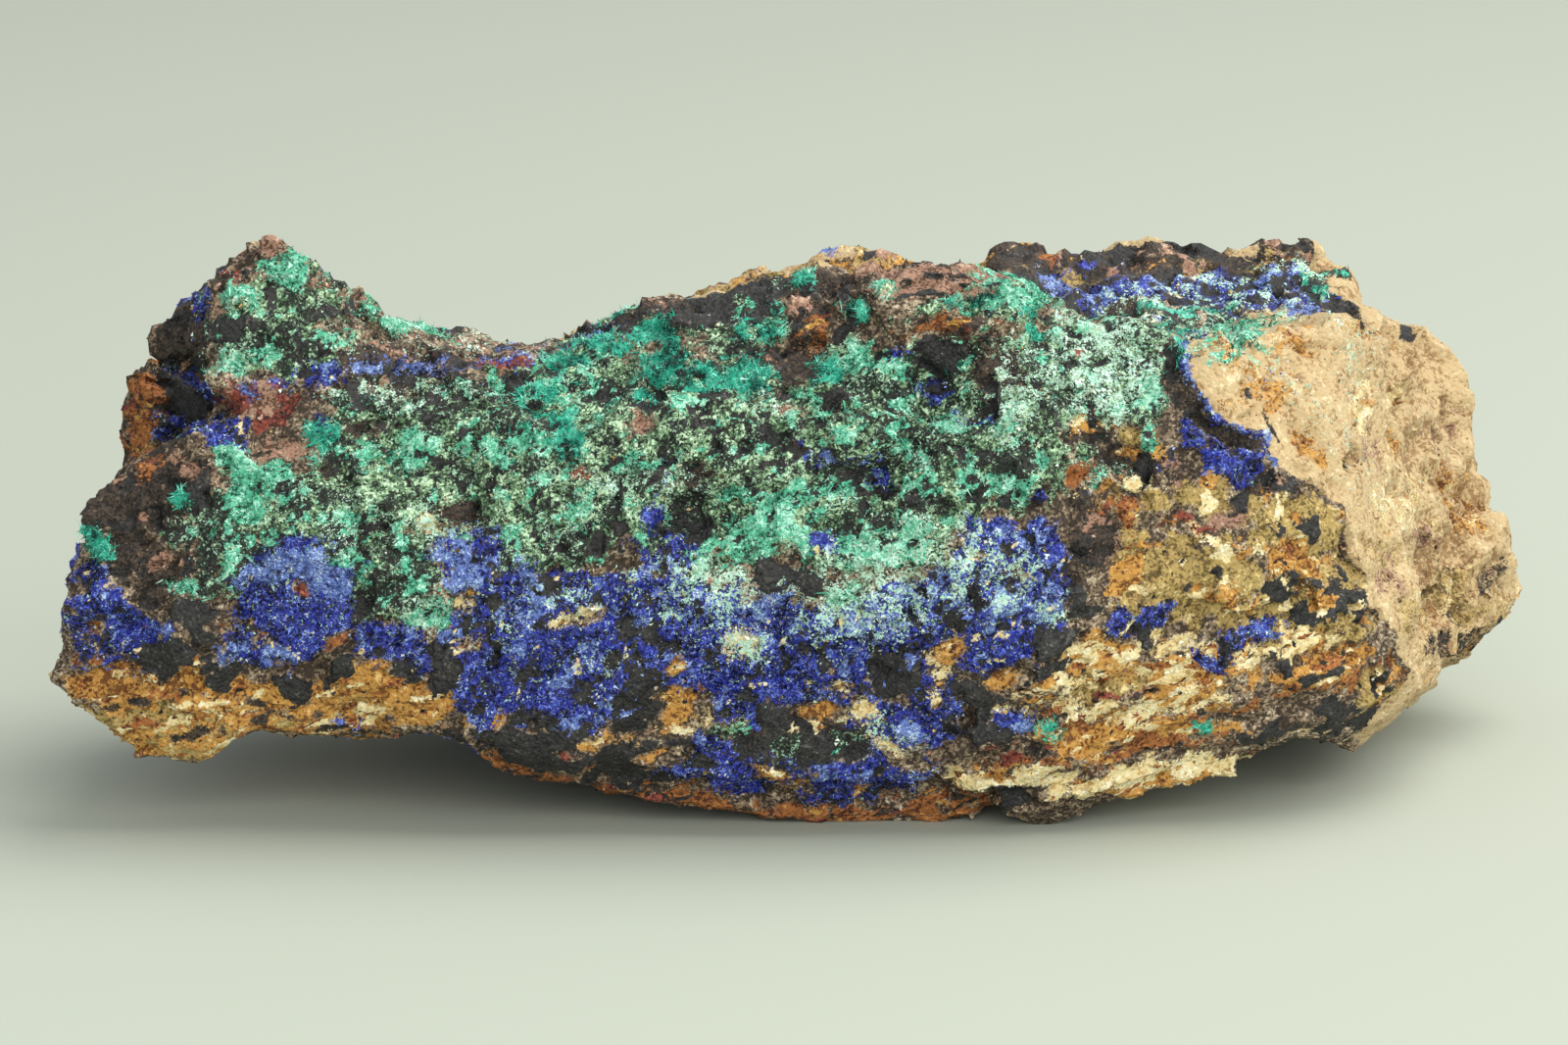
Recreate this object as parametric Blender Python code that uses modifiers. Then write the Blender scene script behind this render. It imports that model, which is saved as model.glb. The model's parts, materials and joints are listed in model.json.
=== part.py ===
"""Azurite and malachite on a limonite matrix: one broken stone, modelled at its real size.

The stone is built the way broken rock is read. Blocky masses, each the convex hull of its own
corners, are joined and skinned with voxels. The skin is then chipped into small fracture
facets, bedded into ledges, pitted with cavities, ground flat where it rests, and thinned to a
faceted solid. It is one piece, so it is one object.

X runs along the stone, Y points away from the crusted face, and Z is up. The origin is the
centre of the stone's footprint, on the surface that it rests on.
"""

import math

import bmesh
import bpy
from mathutils import Vector, noise

# ---- Driving dimensions. Lengths are in millimetres ----------------------------------------

MM = 0.001
NODE = "azurite_stone"
VOXEL = 1.1                  # grid of the skin over the joined masses
EASE_FACTOR, EASE_STEPS = 0.5, 3
SKIN_TRIANGLES = 8600        # faces kept in the finished solid

# Fracture facets, as (width, slope against the mass under it, step from one to the next).
BIG_FACETS = (19.0, 0.12, 0.9)
SMALL_FACETS = (8.5, 0.11, 0.4)
LEAN_DRAW, STEP_DRAW = 5.0, 7.0      # two different draws of chance from one facet's seed
CRUST_SHARE = 0.7            # how much of that relief the crusted face has
SWELL_SIZE, SWELL_HEIGHT = 24.0, 0.9
GRIT_SIZE, GRIT_HEIGHT = 4.5, 0.3
SEAT_DEPTH = 0.35            # what comes this near to the ground is worn flat on it

# Each mass, by the corners of its hull, as (x, y, z).
MASSES = {
    # The middle of the stone, which all the other masses run into.
    "heart": [
        (-62, -22, 34), (-64, 0, 36), (-60, 16, 28), (-66, -4, 14), (-50, -28, 14), (-42, -30, 44),
        (-58, -6, 42.5), (-50, 8, 42), (-52, 18, 36), (-30, 8, 44.5), (-22, 24, 40), (0, 20, 46.5),
        (30, 22, 45), (64, 24, 43), (72, 28, 26), (62, 38, 6), (0, 38, 4), (-34, 30, 8),
        (-60, 16, 9), (-10, -28, 6), (30, -30, 8), (58, -22, 10), (58, -24, 28), (28, -30, 44),
        (44, -24, 44),
    ],
    # Left end: the peak, with the short steep slope down to the saddle.
    "peak": [
        (-53, -24.5, 62.6), (-50, -18, 60), (-60, -26.5, 57.8), (-57.5, -14, 57.8),
        (-45, -24, 57), (-40.5, -23, 52.8), (-60, -29, 46), (-40, -31, 42), (-63, -18, 44),
        (-42, 2, 44), (-58, 4, 46), (-60, -13, 56.5),
    ],
    "knob": [
        (-63, -21, 55.8), (-66.8, -20, 51.5), (-66.2, -19, 48.6), (-61, -25, 50), (-58, -10, 52),
        (-58, -20, 45), (-62, -12, 50), (-67, -15, 45), (-65, -4, 44), (-58, -16, 42),
    ],
    # Left end, low: a dark rounded lump over the ochre underlip.
    "left_lump": [
        (-69.3, -31.5, 37.6), (-71.3, -32, 35), (-64, -29, 41), (-58, -31, 43),
        (-71.3, -33, 29), (-75.6, -33, 18), (-74.6, -33, 14), (-68.5, -33, 11),
        (-57, -33, 10.5), (-40, -33, 9.4), (-26, -37, 20), (-44, -37, 30), (-70, -35.5, 20),
        (-66, 2, 34), (-70, 4, 16), (-62, 14, 9), (-24, 26, 9), (-28, 16, 38), (-69, -16, 31),
        (-36, -30, 46), (-44, 26, 18),
    ],
    "ochre_lip": [
        (-67.5, -32, 7.2), (-61, -32, 6.8), (-55, -33, 11), (-69.5, -33, 12), (-60, -20, 7),
        (-67, -20, 9), (-60, -28, 14),
    ],
    "rusty_block": [
        (-68, 0, 45), (-71, 3, 43), (-72, 4, 33), (-70, 10, 20), (-56, 8, 44),
        (-58, -8, 42), (-58, 20, 30), (-66, -8, 24), (-50, 22, 18), (-46, 6, 44),
    ],
    # Middle: the crusted slab, from the saddle up to the main ridge.
    "saddle": [
        (-46, -23, 52.2), (-36, -23, 49.4), (-31.5, -22, 48.2), (-24, -22, 50.2), (-46, -32, 42),
        (-20, -34, 42), (-44, 2, 44), (-18, 4, 46), (-42, 20, 36), (-18, 24, 40), (-30, 0, 10),
    ],
    "front_slab": [
        (-27, -22, 49.6), (-16, -21, 53.4), (5, -19, 58.4), (16, -18, 58), (30, -22, 51),
        (-42, -34, 12), (-30, -35, 8.5), (-16, -35.5, 7), (5, -36, 5.5), (18, -36, 6),
        (-36, -37, 22), (-8, -38.5, 28), (20, -38, 28), (29, -36.5, 36), (-30, -34, 40),
        (-25, 4, 44), (2, 12, 46.5), (30, 12, 46), (-24, 22, 8), (30, 20, 2), (27, -34, 46),
        (29, -37, 16),
    ],
    "brown_bed": [
        (-30.5, -32, 5.8), (-16, -31, 3.2), (-4, -29, 0.4), (6, -27, -1.2), (19, -27, -0.6),
        (-34, -30, 10), (22, -30, 8), (-26, 12, 6), (-4, 26, -1.2), (26, 24, -1.2),
    ],
    "ridge_cap": [
        (6, -21, 58.6), (15, -20, 60), (21, -22, 59), (25.8, -23, 57.4), (27, -26.5, 55),
        (22, -28, 53.6), (9, -28, 54), (10, -30.5, 49), (22, -31.5, 47), (7, -8, 54),
        (23, -8, 52.5),
    ],
    # Right end: a shoulder of crust, and the tan weathered face turned away from it.
    "right_shoulder": [
        (26, -25, 54.2), (30.5, -25, 54.6), (36.5, -25, 52.6), (43, -25, 51.6), (44, -30, 42),
        (51, -29.5, 35.6), (57.5, -26, 31), (28, -35.5, 38), (29, -37, 27), (44, -34, 24),
        (28, -8, 49), (44, -6, 48), (40, 8, 30), (60, -22, 20), (29, -36, 14), (44, -33, 14),
    ],
    "right_end": [
        (42, -22, 50), (50.5, -18, 52.4), (60.3, -9, 51.2), (57.5, -26, 31), (61, -26.5, 20.5),
        (66.8, -19, 12.3), (60, -17, 5), (44, -22, 51), (62, 4, 46), (77, 18, 29),
        (80.3, 20, 23), (83.6, 22, 14), (82.4, 22, 9.8), (76, 15, 5.9), (69, 22, 39.5),
        (46, 12, 43), (20, 14, 44), (20, 20, -1.2), (60, 32, 1), (66, 30, 20), (40, -30, 16),
        (66, -8, 33),
    ],
    "layered_foot": [
        (18, -37, 18), (30, -36.5, 18), (46, -33.5, 19), (60, -27, 20), (64, -22, 13),
        (50, -29, 8), (26, -35, 8), (20, -34, 8), (30, 0, 2), (56, -6, 6), (60, -16, 6),
    ],
    "cream_bed": [
        (17.5, -33, 4.6), (24, -33.5, 6), (31, -32, 6.5), (49.5, -28, 7.6), (50, -27.5, 3.6),
        (38, -29, 2.6), (30.5, -29, 1.2), (25, -30, 1.4), (30, 0, 2), (50, -6, 4), (20, 0, 2),
    ],
    # Back: the second ridge, in two humps, behind a shallow trough.
    "back_hump": [
        (-8, 25, 47.6), (-1, 28, 51.2), (8, 31, 52), (16, 33, 51.8), (24, 33, 50.4),
        (30, 35, 49.6), (-24, 14, 42), (34, 12, 43.5), (-30, 30, 34), (-18, 39, 30), (0, 45, 24),
        (32, 46, 26), (-40, 28, 20), (-32, 28, 8), (0, 36, -1.2), (30, 38, -1.2),
    ],
    "back_ridge": [
        (26, 34, 49.2), (34, 36, 50.4), (40, 38, 51), (48, 38, 50.2), (54, 38, 51), (60, 37, 50),
        (64, 36, 49), (66.5, 32, 46.2), (70.5, 30, 38.6), (77, 27, 34.5), (22, 14, 44),
        (34, 16, 43.5), (60, 16, 42), (80, 24, 20), (22, 46, 30), (62, 46.5, 25), (74, 38, 16),
        (66, 36, 2), (40, 38, -1.2), (14, 40, 16),
    ],
}

# Cavities in the crusted face, as (x, z, width, depth).
CAVITIES = [
    (16.5, 46.5, 7.0, 3.2), (9.5, 39.0, 5.0, 2.4), (-10.0, 35.0, 5.0, 1.8), (-21.0, 33.5, 3.6, 1.5),
    (-18.0, 25.0, 5.5, 1.2), (9.0, 18.5, 6.0, 1.4), (-55.0, 25.5, 5.0, 1.6), (-13.5, 50.0, 4.0, 1.6),
    (-52.0, 49.0, 5.0, 1.0), (2.0, 50.0, 5.0, 1.2), (-68.0, 22.0, 4.5, 1.0), (0.5, 30.5, 4.0, 1.4),
]
CAVITY_FACE = -0.35          # a cavity is cut only where the skin faces the front this much
CAVITY_STEEPNESS = 4         # the higher, the flatter the floor and the steeper the walls
RIM_SIZE, RIM_RAGGEDNESS = 2.5, 0.5

# Beds that stand out of the lower right of the front, dipping to the left.
BED_THICKNESS = 4.2
BED_RELIEF = 1.0
BED_DIP = math.radians(16)
BED_FROM_X, BED_BELOW_Z = 16.0, 24.0
BED_FADE = 4.0               # the beds come in over this length
BED_SWELL_SIZE, BED_SWELL_HEIGHT = 9.0, 1.5

FORM_COLOUR = (0.16, 0.30, 0.33, 1.0)
FORM_ROUGHNESS = 0.85


def clear_scene():
    for old in list(bpy.data.objects):
        bpy.data.objects.remove(old)


def new_collection(name):
    collection = bpy.data.collections.new(name)
    bpy.context.scene.collection.children.link(collection)
    return collection


def hull_of(corners):
    """A convex mass as a bmesh, in metres."""
    mass = bmesh.new()
    for corner in corners:
        mass.verts.new(Vector(corner) * MM)
    hull = bmesh.ops.convex_hull(mass, input=mass.verts)
    unused = {v for v in hull["geom_interior"] if isinstance(v, bmesh.types.BMVert)}
    bmesh.ops.delete(mass, geom=list(unused), context="VERTS")
    bmesh.ops.recalc_face_normals(mass, faces=mass.faces)
    return mass


def joined_masses():
    """All the masses in one mesh, still running through each other."""
    together = bmesh.new()
    for corners in MASSES.values():
        mass = hull_of(corners)
        part = bpy.data.meshes.new("mass")
        mass.to_mesh(part)
        mass.free()
        together.from_mesh(part)
        bpy.data.meshes.remove(part)
    mesh = bpy.data.meshes.new(NODE)
    together.to_mesh(mesh)
    together.free()
    return mesh


def apply_modifiers(obj):
    """The object's modifiers, made part of its mesh."""
    graph = bpy.context.evaluated_depsgraph_get()
    obj.data = bpy.data.meshes.new_from_object(obj.evaluated_get(graph), depsgraph=graph)
    obj.modifiers.clear()


def skin(obj):
    """One closed skin over the masses, its sharpest seams eased."""
    remesh = obj.modifiers.new("skin", "REMESH")
    remesh.mode = "VOXEL"
    remesh.voxel_size = VOXEL * MM
    ease = obj.modifiers.new("ease", "SMOOTH")
    ease.factor = EASE_FACTOR
    ease.iterations = EASE_STEPS
    apply_modifiers(obj)


def facet_relief(place, facets):
    """Height of the fracture facet at a place: a tilted flake, stepped from its neighbours."""
    width, slope, step = facets
    scaled = place / width
    seed = noise.voronoi(scaled)[1][0]
    lean = noise.cell_vector(seed * LEAN_DRAW) * 2.0 - Vector((1, 1, 1))
    flake = (scaled - seed).dot(lean) * width * slope
    return flake + (noise.cell(seed * STEP_DRAW) - 0.5) * step


def rough_relief(place, normal):
    """Facets, soft swells and small knobs, all quieter on the crusted face."""
    share = CRUST_SHARE if normal.y < CAVITY_FACE else 1.0
    relief = facet_relief(place, BIG_FACETS) + facet_relief(place, SMALL_FACETS)
    relief += noise.noise(place / SWELL_SIZE) * SWELL_HEIGHT
    return relief * share + noise.noise(place / GRIT_SIZE) * GRIT_HEIGHT


def cavity_relief(place, normal):
    """Depth of the cavities in the crusted face."""
    if normal.y > CAVITY_FACE:
        return 0.0
    relief = 0.0
    ragged = 1.0 + RIM_RAGGEDNESS * noise.noise(place / RIM_SIZE)
    for x, z, width, depth in CAVITIES:
        away = math.hypot(place.x - x, place.z - z) / (width / 2 * ragged)
        if away < 1:
            relief -= depth * (1 - away**CAVITY_STEEPNESS)
    return relief


def bed_relief(place, normal):
    """Steps of the beds at the lower right of the front."""
    inside = min(1.0, max(0.0, (place.x - BED_FROM_X) / BED_FADE))
    inside *= min(1.0, max(0.0, (BED_BELOW_Z - place.z) / BED_FADE))
    inside *= max(0.0, -normal.y)
    across = place.z * math.cos(BED_DIP) - place.x * math.sin(BED_DIP)
    across += noise.noise(place / BED_SWELL_SIZE) * BED_SWELL_HEIGHT
    through_bed = across / BED_THICKNESS % 1.0
    zigzag = abs(through_bed - 0.5) * 4 - 1
    return inside * BED_RELIEF * zigzag


def weather(obj):
    """Moves each point of the skin out or in along its normal."""
    mesh = obj.data
    normals = [Vector(v.normal) for v in mesh.vertices]
    for vertex, normal in zip(mesh.vertices, normals):
        place = vertex.co / MM
        relief = rough_relief(place, normal) + cavity_relief(place, normal)
        relief += bed_relief(place, normal)
        vertex.co += normal * relief * MM


def grind_seat(obj):
    """Flattens what reaches, or all but reaches, the surface that the stone rests on."""
    for vertex in obj.data.vertices:
        if vertex.co.z < SEAT_DEPTH * MM:
            vertex.co.z = 0.0


def thin_out(obj):
    """Keeps only as many faces as the facets need."""
    obj.data.calc_loop_triangles()
    decimate = obj.modifiers.new("thin", "DECIMATE")
    decimate.ratio = SKIN_TRIANGLES / len(obj.data.loop_triangles)
    apply_modifiers(obj)


def centre_footprint(obj):
    """Puts the origin under the middle of the stone's box."""
    xs = [v.co.x for v in obj.data.vertices]
    ys = [v.co.y for v in obj.data.vertices]
    middle = Vector(((min(xs) + max(xs)) / 2, (min(ys) + max(ys)) / 2, 0.0))
    for vertex in obj.data.vertices:
        vertex.co -= middle


def stone_material():
    material = bpy.data.materials.new("copper_ore")
    material.use_nodes = True
    shader = material.node_tree.nodes["Principled BSDF"]
    shader.inputs["Base Color"].default_value = FORM_COLOUR
    shader.inputs["Roughness"].default_value = FORM_ROUGHNESS
    shader.inputs["Metallic"].default_value = 0.0
    return material


def main():
    clear_scene()
    stone = bpy.data.objects.new(NODE, joined_masses())
    new_collection("azurite_specimen").objects.link(stone)
    skin(stone)
    weather(stone)
    grind_seat(stone)
    thin_out(stone)
    grind_seat(stone)
    centre_footprint(stone)
    stone.data.materials.clear()
    stone.data.materials.append(stone_material())
    stone.data.shade_flat()


main()
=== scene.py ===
# %% [markdown]
# # A stone with azurite and malachite crusts
# This lesson dresses a packed, faceted stone until it looks like the real thing. The stone is
# broken limonite rock. Copper-rich water ran through its cracks and left two crusts: green
# malachite above, deep blue azurite below, with black goethite nodules between them.
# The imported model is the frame. It fixes the stone's size and place, and everything here is
# fitted to it.

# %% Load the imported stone
import json
import math

import bpy
import numpy as np
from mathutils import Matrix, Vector, noise

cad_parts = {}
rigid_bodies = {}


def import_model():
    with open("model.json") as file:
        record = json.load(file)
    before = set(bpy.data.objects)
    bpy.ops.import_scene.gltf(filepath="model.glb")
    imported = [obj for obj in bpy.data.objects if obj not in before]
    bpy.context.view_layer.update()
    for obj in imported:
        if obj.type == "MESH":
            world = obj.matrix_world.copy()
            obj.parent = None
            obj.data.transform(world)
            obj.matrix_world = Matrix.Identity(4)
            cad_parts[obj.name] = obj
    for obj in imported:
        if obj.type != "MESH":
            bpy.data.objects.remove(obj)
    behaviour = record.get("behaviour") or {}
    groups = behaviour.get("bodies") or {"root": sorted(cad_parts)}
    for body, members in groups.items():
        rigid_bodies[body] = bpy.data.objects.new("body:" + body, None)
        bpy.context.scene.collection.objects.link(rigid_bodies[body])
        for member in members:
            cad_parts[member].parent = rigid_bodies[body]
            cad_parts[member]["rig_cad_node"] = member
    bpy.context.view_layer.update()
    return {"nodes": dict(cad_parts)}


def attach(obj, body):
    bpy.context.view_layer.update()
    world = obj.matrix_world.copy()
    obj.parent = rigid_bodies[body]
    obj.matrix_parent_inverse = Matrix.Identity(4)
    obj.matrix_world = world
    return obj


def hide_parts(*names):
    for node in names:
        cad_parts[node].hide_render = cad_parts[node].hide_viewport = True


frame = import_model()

MM = 0.001
NODE = "azurite_stone"
BODY = "root"

# %% [markdown]
# ## The view, first
# A drawing is planned from where it will be seen. The camera stands a little above the table
# and looks down 12 degrees at the crusted face, through a long lens, so that the stone keeps
# its proportions. Its distance and the lens are chosen together: at the plane of the front
# face, one millimetre of stone is ten pixels of the finished picture.
# The minerals will be laid out on that same plane, so the camera is settled before them.
# The plain view transform is used, because the filmic ones wash out a pure ultramarine.

# %% Camera
VIEW_TILT = math.radians(12)
VIEW_DISTANCE = 750.0        # mm, from the lens to the plane of the front face
VIEW_CENTRE = Vector((-2.85, -39.24, 33.5))
PIXELS_ACROSS = 1600
PIXELS_PER_MM = 10
SENSOR_WIDTH = 36.0
look = Vector((0, math.cos(VIEW_TILT), -math.sin(VIEW_TILT)))

camera_data = bpy.data.cameras.new("camera")
camera_data.sensor_width = SENSOR_WIDTH
camera_data.lens = SENSOR_WIDTH * VIEW_DISTANCE * PIXELS_PER_MM / PIXELS_ACROSS
camera_data.clip_start = 0.05
camera_data.clip_end = 20
camera = bpy.data.objects.new("camera", camera_data)
bpy.context.scene.collection.objects.link(camera)
camera.location = (VIEW_CENTRE - look * VIEW_DISTANCE) * MM
camera.rotation_mode = "QUATERNION"
camera.rotation_quaternion = look.to_track_quat("-Z", "Y")
bpy.context.scene.camera = camera
bpy.context.scene.view_settings.view_transform = "Standard"
print("lens, mm:", round(camera_data.lens, 1))

# %% [markdown]
# ## A finer skin on the same stone
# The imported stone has 8600 flat triangles, about 3.5 mm across. That is enough to read its
# shape, and too coarse for a crust whose pits are a millimetre wide. A copy of it is welded,
# skinned again with small voxels, and eased, so that the old triangles no longer show. The
# side with the crusts is then subdivided once more, because that is where people look.
# Sculpting by hand would also do this, but it would not come out the same each time.

# %% Small helpers for objects and modifiers
def only(obj):
    """Makes obj the one selected and active object."""
    bpy.ops.object.select_all(action="DESELECT")
    obj.select_set(True)
    bpy.context.view_layer.objects.active = obj


def use_modifier(obj, kind, **settings):
    """Adds a modifier, sets it, and makes its result the object's own mesh."""
    only(obj)
    modifier = obj.modifiers.new(kind.lower(), kind)
    for name, value in settings.items():
        setattr(modifier, name, value)
    bpy.ops.object.modifier_apply(modifier=modifier.name)


def values_of(items, name, width):
    """One property of many mesh items, as an array with a row for each."""
    values = np.zeros(len(items) * width, np.float32)
    items.foreach_get(name, values)
    return values.reshape(-1, width) if width > 1 else values


# %% Weld a copy and skin it with voxels
SKIN_VOXEL = 1.0
WELD = 0.001
only(frame["nodes"][NODE])
bpy.ops.object.duplicate()
rock = bpy.context.object
rock.name = "crusted_rock"
rock.data.name = "crusted_rock"
rock.data.materials.clear()
del rock["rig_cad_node"]      # the copy is a new piece, not the node itself
bpy.ops.object.mode_set(mode="EDIT")
bpy.ops.mesh.select_all(action="SELECT")
bpy.ops.mesh.remove_doubles(threshold=WELD * MM)
bpy.ops.object.mode_set(mode="OBJECT")
use_modifier(rock, "REMESH", mode="VOXEL", voxel_size=SKIN_VOXEL * MM)
use_modifier(rock, "SMOOTH", factor=0.5, iterations=2)
print("skin faces:", len(rock.data.polygons))

# %% Subdivide the side with the crusts
CRUST_FACING = -0.38         # a face belongs to the front when its normal's Y is below this
facing = values_of(rock.data.polygons, "normal", 3)[:, 1] < CRUST_FACING
only(rock)
bpy.ops.object.mode_set(mode="EDIT")
bpy.ops.mesh.select_mode(type="FACE")
bpy.ops.mesh.select_all(action="DESELECT")
bpy.ops.object.mode_set(mode="OBJECT")
rock.data.polygons.foreach_set("select", facing)
bpy.ops.object.mode_set(mode="EDIT")
bpy.ops.mesh.subdivide(number_cuts=1, smoothness=0)
bpy.ops.object.mode_set(mode="OBJECT")
print("faces after the front is subdivided:", len(rock.data.polygons))

# %% [markdown]
# ## Where each mineral lies
# On the real stone, each mineral is a stain or a crust with a ragged edge, not a separate
# piece. So the map of them is stored on the mesh: one soft number from 0 to 1 for each
# mineral at each point. The material turns these soft numbers into ragged edges later.
# The map is written as a short list of ovals for each mineral, on a drawing plane that
# stands where the camera's picture does. An oval is (right, up, half width, half height,
# tilt in degrees), in millimetres from the middle of the picture. Painting the map by hand
# in Vertex Paint would work as well, but a list can be read and corrected.

# %% The drawing plane
def on_drawing_plane(points):
    """Places of points, in mm, on the plane that the front is drawn on."""
    right = Vector((1, 0, 0))
    up = right.cross(look)
    from_lens = points - np.array(VIEW_CENTRE - look * VIEW_DISTANCE)
    depth = from_lens @ np.array(look)
    across = from_lens @ np.array(right) / depth * VIEW_DISTANCE
    upward = from_lens @ np.array(up) / depth * VIEW_DISTANCE
    return np.stack([across, upward], axis=1)


def warped(points, size, reach, seed):
    """Each point pushed about by smooth noise, so that ovals become ragged patches."""
    offset = Vector((seed, -seed, 2 * seed))
    pushes = [noise.noise_vector(Vector(p) / size + offset) for p in points]
    return points + np.array(pushes) * reach


# How far back, in mm, the front's map is used: past each end it wraps round the corner.
FRONT_DEPTH, LEFT_END_DEPTH, RIGHT_END_DEPTH = 8.0, 16.0, 26.0
LEFT_END, RIGHT_END, RIGHT_END_TOP = -52.0, 50.0, 20.0
points = values_of(rock.data.vertices, "co", 3).astype(float) / MM
normals = values_of(rock.data.vertices, "normal", 3).astype(float)
# A face that turns away from the view would take the map as stripes, so it is stirred more.
TURNING = 0.3                # a face turns away when it faces the view less than this
turning = np.clip(1 + normals @ np.array(look) / TURNING, 0, 1)[:, None]
stirred = warped(warped(points, 7.0, 1.2, 3.1), 2.2, 0.9, 7.7)
stirred += (warped(points, 6.0, 11.0, 9.3) - points) * turning
drawn = on_drawing_plane(stirred)
at_right_end = (points[:, 0] > RIGHT_END) & (drawn[:, 1] < RIGHT_END_TOP)
reach_back = np.where(points[:, 0] < LEFT_END, LEFT_END_DEPTH, FRONT_DEPTH)
reach_back = np.where(at_right_end, RIGHT_END_DEPTH, reach_back)
on_front = warped(points, 7.0, 5.0, 5.1)[:, 1] < reach_back
print("map points:", len(points))

# %% [markdown]
# ## The crusts on the front
# Malachite comes in four looks: a sage crust of mixed fine grains, mint where it is pure, teal
# where it grows as silky fibres, and thin enough in places to be pale specks on black rock.
# Azurite forms the blue band below it and the round rosette at the left, and where it is
# thin it is a powdery film. Frost is the pale secondary growth over both.

# %% Ovals of malachite
FRONT_MAP = {
    "sage": [
        (-33, 6, 12, 8), (-12, 7, 14, 9), (10, 8, 14, 11), (-22, 14, 8, 3.6), (24, 10, 6, 8), (-46, 1, 7, 6),
        (33, 14.5, 6.4, 7), (-40, 9.4, 6, 3), (-50, 20, 8, 5.4), (20, 21, 6, 2), (-58, -2, 4, 5), (-40, -5, 4, 6),
        (-24, -1, 6, 4), (38, 20, 4, 2), (30, 5, 3, 3), (-4, 19.6, 6, 3), (-36, 12, 5, 1.6), (-39, 21, 5, 1.2, -20),
        (-52.4, 22.4, 2.6, 2.2),
    ],
    "speckled": [
        (-57.4, -2.8, 5, 4), (-39, -4.4, 2.6, 5.4), (-56.8, 20.3, 2.2, 1.9), (-18.4, 14.4, 3, 3.4), (-2, 9.4, 4, 2),
        (13, 8.6, 5, 2.4), (-36, 14, 4, 1.2), (20, 16, 3, 2), (9, 13, 3, 2), (-42, 12, 3, 2), (-46, 21.4, 3.6, 1),
        (-5, 22.6, 7, 1.6, 14), (-29, 10.6, 3, 5), (-35, 3, 3, 1.6), (6, 0.6, 3, 1.6), (30, 12.6, 2.6, 2),
        (34.6, 5.2, 3.6, 1.6), (-24, 3.6, 3, 1.6), (17, 5, 3.6, 2.4), (27, 16.6, 2, 3), (-44, 6.4, 3, 1.4),
        (3, -22.4, 4, 1.6), (-4, -20.6, 3, 1.2),
        (-53.4, 19.4, 2, 1.3), (-47.4, 23.4, 1.6, 1.2),
        (-52.4, 22.6, 2.2, 3), (-48.4, 22.2, 3, 1.3, -25), (-45.4, 19.6, 3, 1),
    ],
    "mint": [
        (-50, 26.4, 2.6, 2.2), (-52, 21.8, 3, 3.2), (-55.4, 17.3, 2.2, 1.1), (-56.2, 23, 1.4, 1.1),
        (-39, 21.2, 4, 0.9, -20), (-46.6, 19.3, 2.4, 1.2), (-54, 5.6, 5, 2.4), (-52, 2.6, 5.2, 3.4),
        (-60.4, -6.6, 2.6, 0.8, -12), (-44, -1.4, 2, 3.4), (-36.4, -9.2, 2.6, 1.8), (-23.2, 1.6, 3.2, 2.2),
        (-3.8, 0, 4.2, 3.4), (1, 1.4, 3.6, 2.4), (5.9, 8.5, 1.7, 1), (11.6, 15.8, 2.6, 1.3, -20),
        (24.6, 5.2, 2.2, 2.4), (17.6, 10.8, 3.6, 0.8, -6), (15, 2.4, 2.4, 3), (3.4, -0.6, 5, 3), (12.6, -1.6, 4, 2.6),
        (6.4, -7.6, 2.6, 1.1), (36.4, 12.2, 2, 1), (30.6, 10.8, 1.6, 1.4), (36.8, 9.4, 1.3, 1), (37.8, 14.4, 0.9, 2),
        (23.4, 24, 3.8, 2, -20), (45.4, 19, 3.4, 2), (52, 21.5, 3.6, 0.8, 8), (10, 23.6, 1, 0.6), (-29, 7, 2, 1),
        (-37, 7.4, 3, 1.4), (-14, 5.4, 4, 1.6), (-33, 2.4, 3, 1), (20, 7, 2, 1.6), (9, 10.4, 2, 1),
        (-51.6, 25, 3.4, 3), (-40.4, 21.4, 4.4, 1.5, -24),
        (2, 1, 6, 3), (5.6, -3, 5.4, 2), (-8, -3.4, 3, 1.4),
    ],
    "teal": [
        (-24.6, 10.4, 2, 4.8, 18), (-23, 15, 0.9, 2.4), (-22.4, 7.2, 1.9, 1.5), (-10, 15.4, 4.8, 1.7, -20),
        (-4, 16, 3, 2), (-2, 14, 2.4, 1.5, 10), (-1.4, 20, 2.8, 2.5), (2.4, 24.6, 1.3, 0.9), (7, 21.6, 1.2, 1.3),
        (25.6, 20.4, 1.5, 1.9), (4.7, 15.7, 1.6, 0.9, 15), (18.8, 22.4, 1.9, 0.8), (-47.2, 7.8, 2.2, 2.4),
        (-61.3, 2.8, 1, 0.6), (-69.8, -2.2, 1, 1.2), (-17.6, 18, 4, 1.2, 15), (-12.6, 19.8, 1.8, 1.6),
        (-21.4, 16.8, 2.6, 1, 10), (40.8, 17.6, 0.9, 1.3), (-14, 12.6, 1.6, 1.2), (27.2, -21.2, 1.6, 1),
        (42.7, -20.8, 0.8, 0.7),
    ],
}

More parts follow.
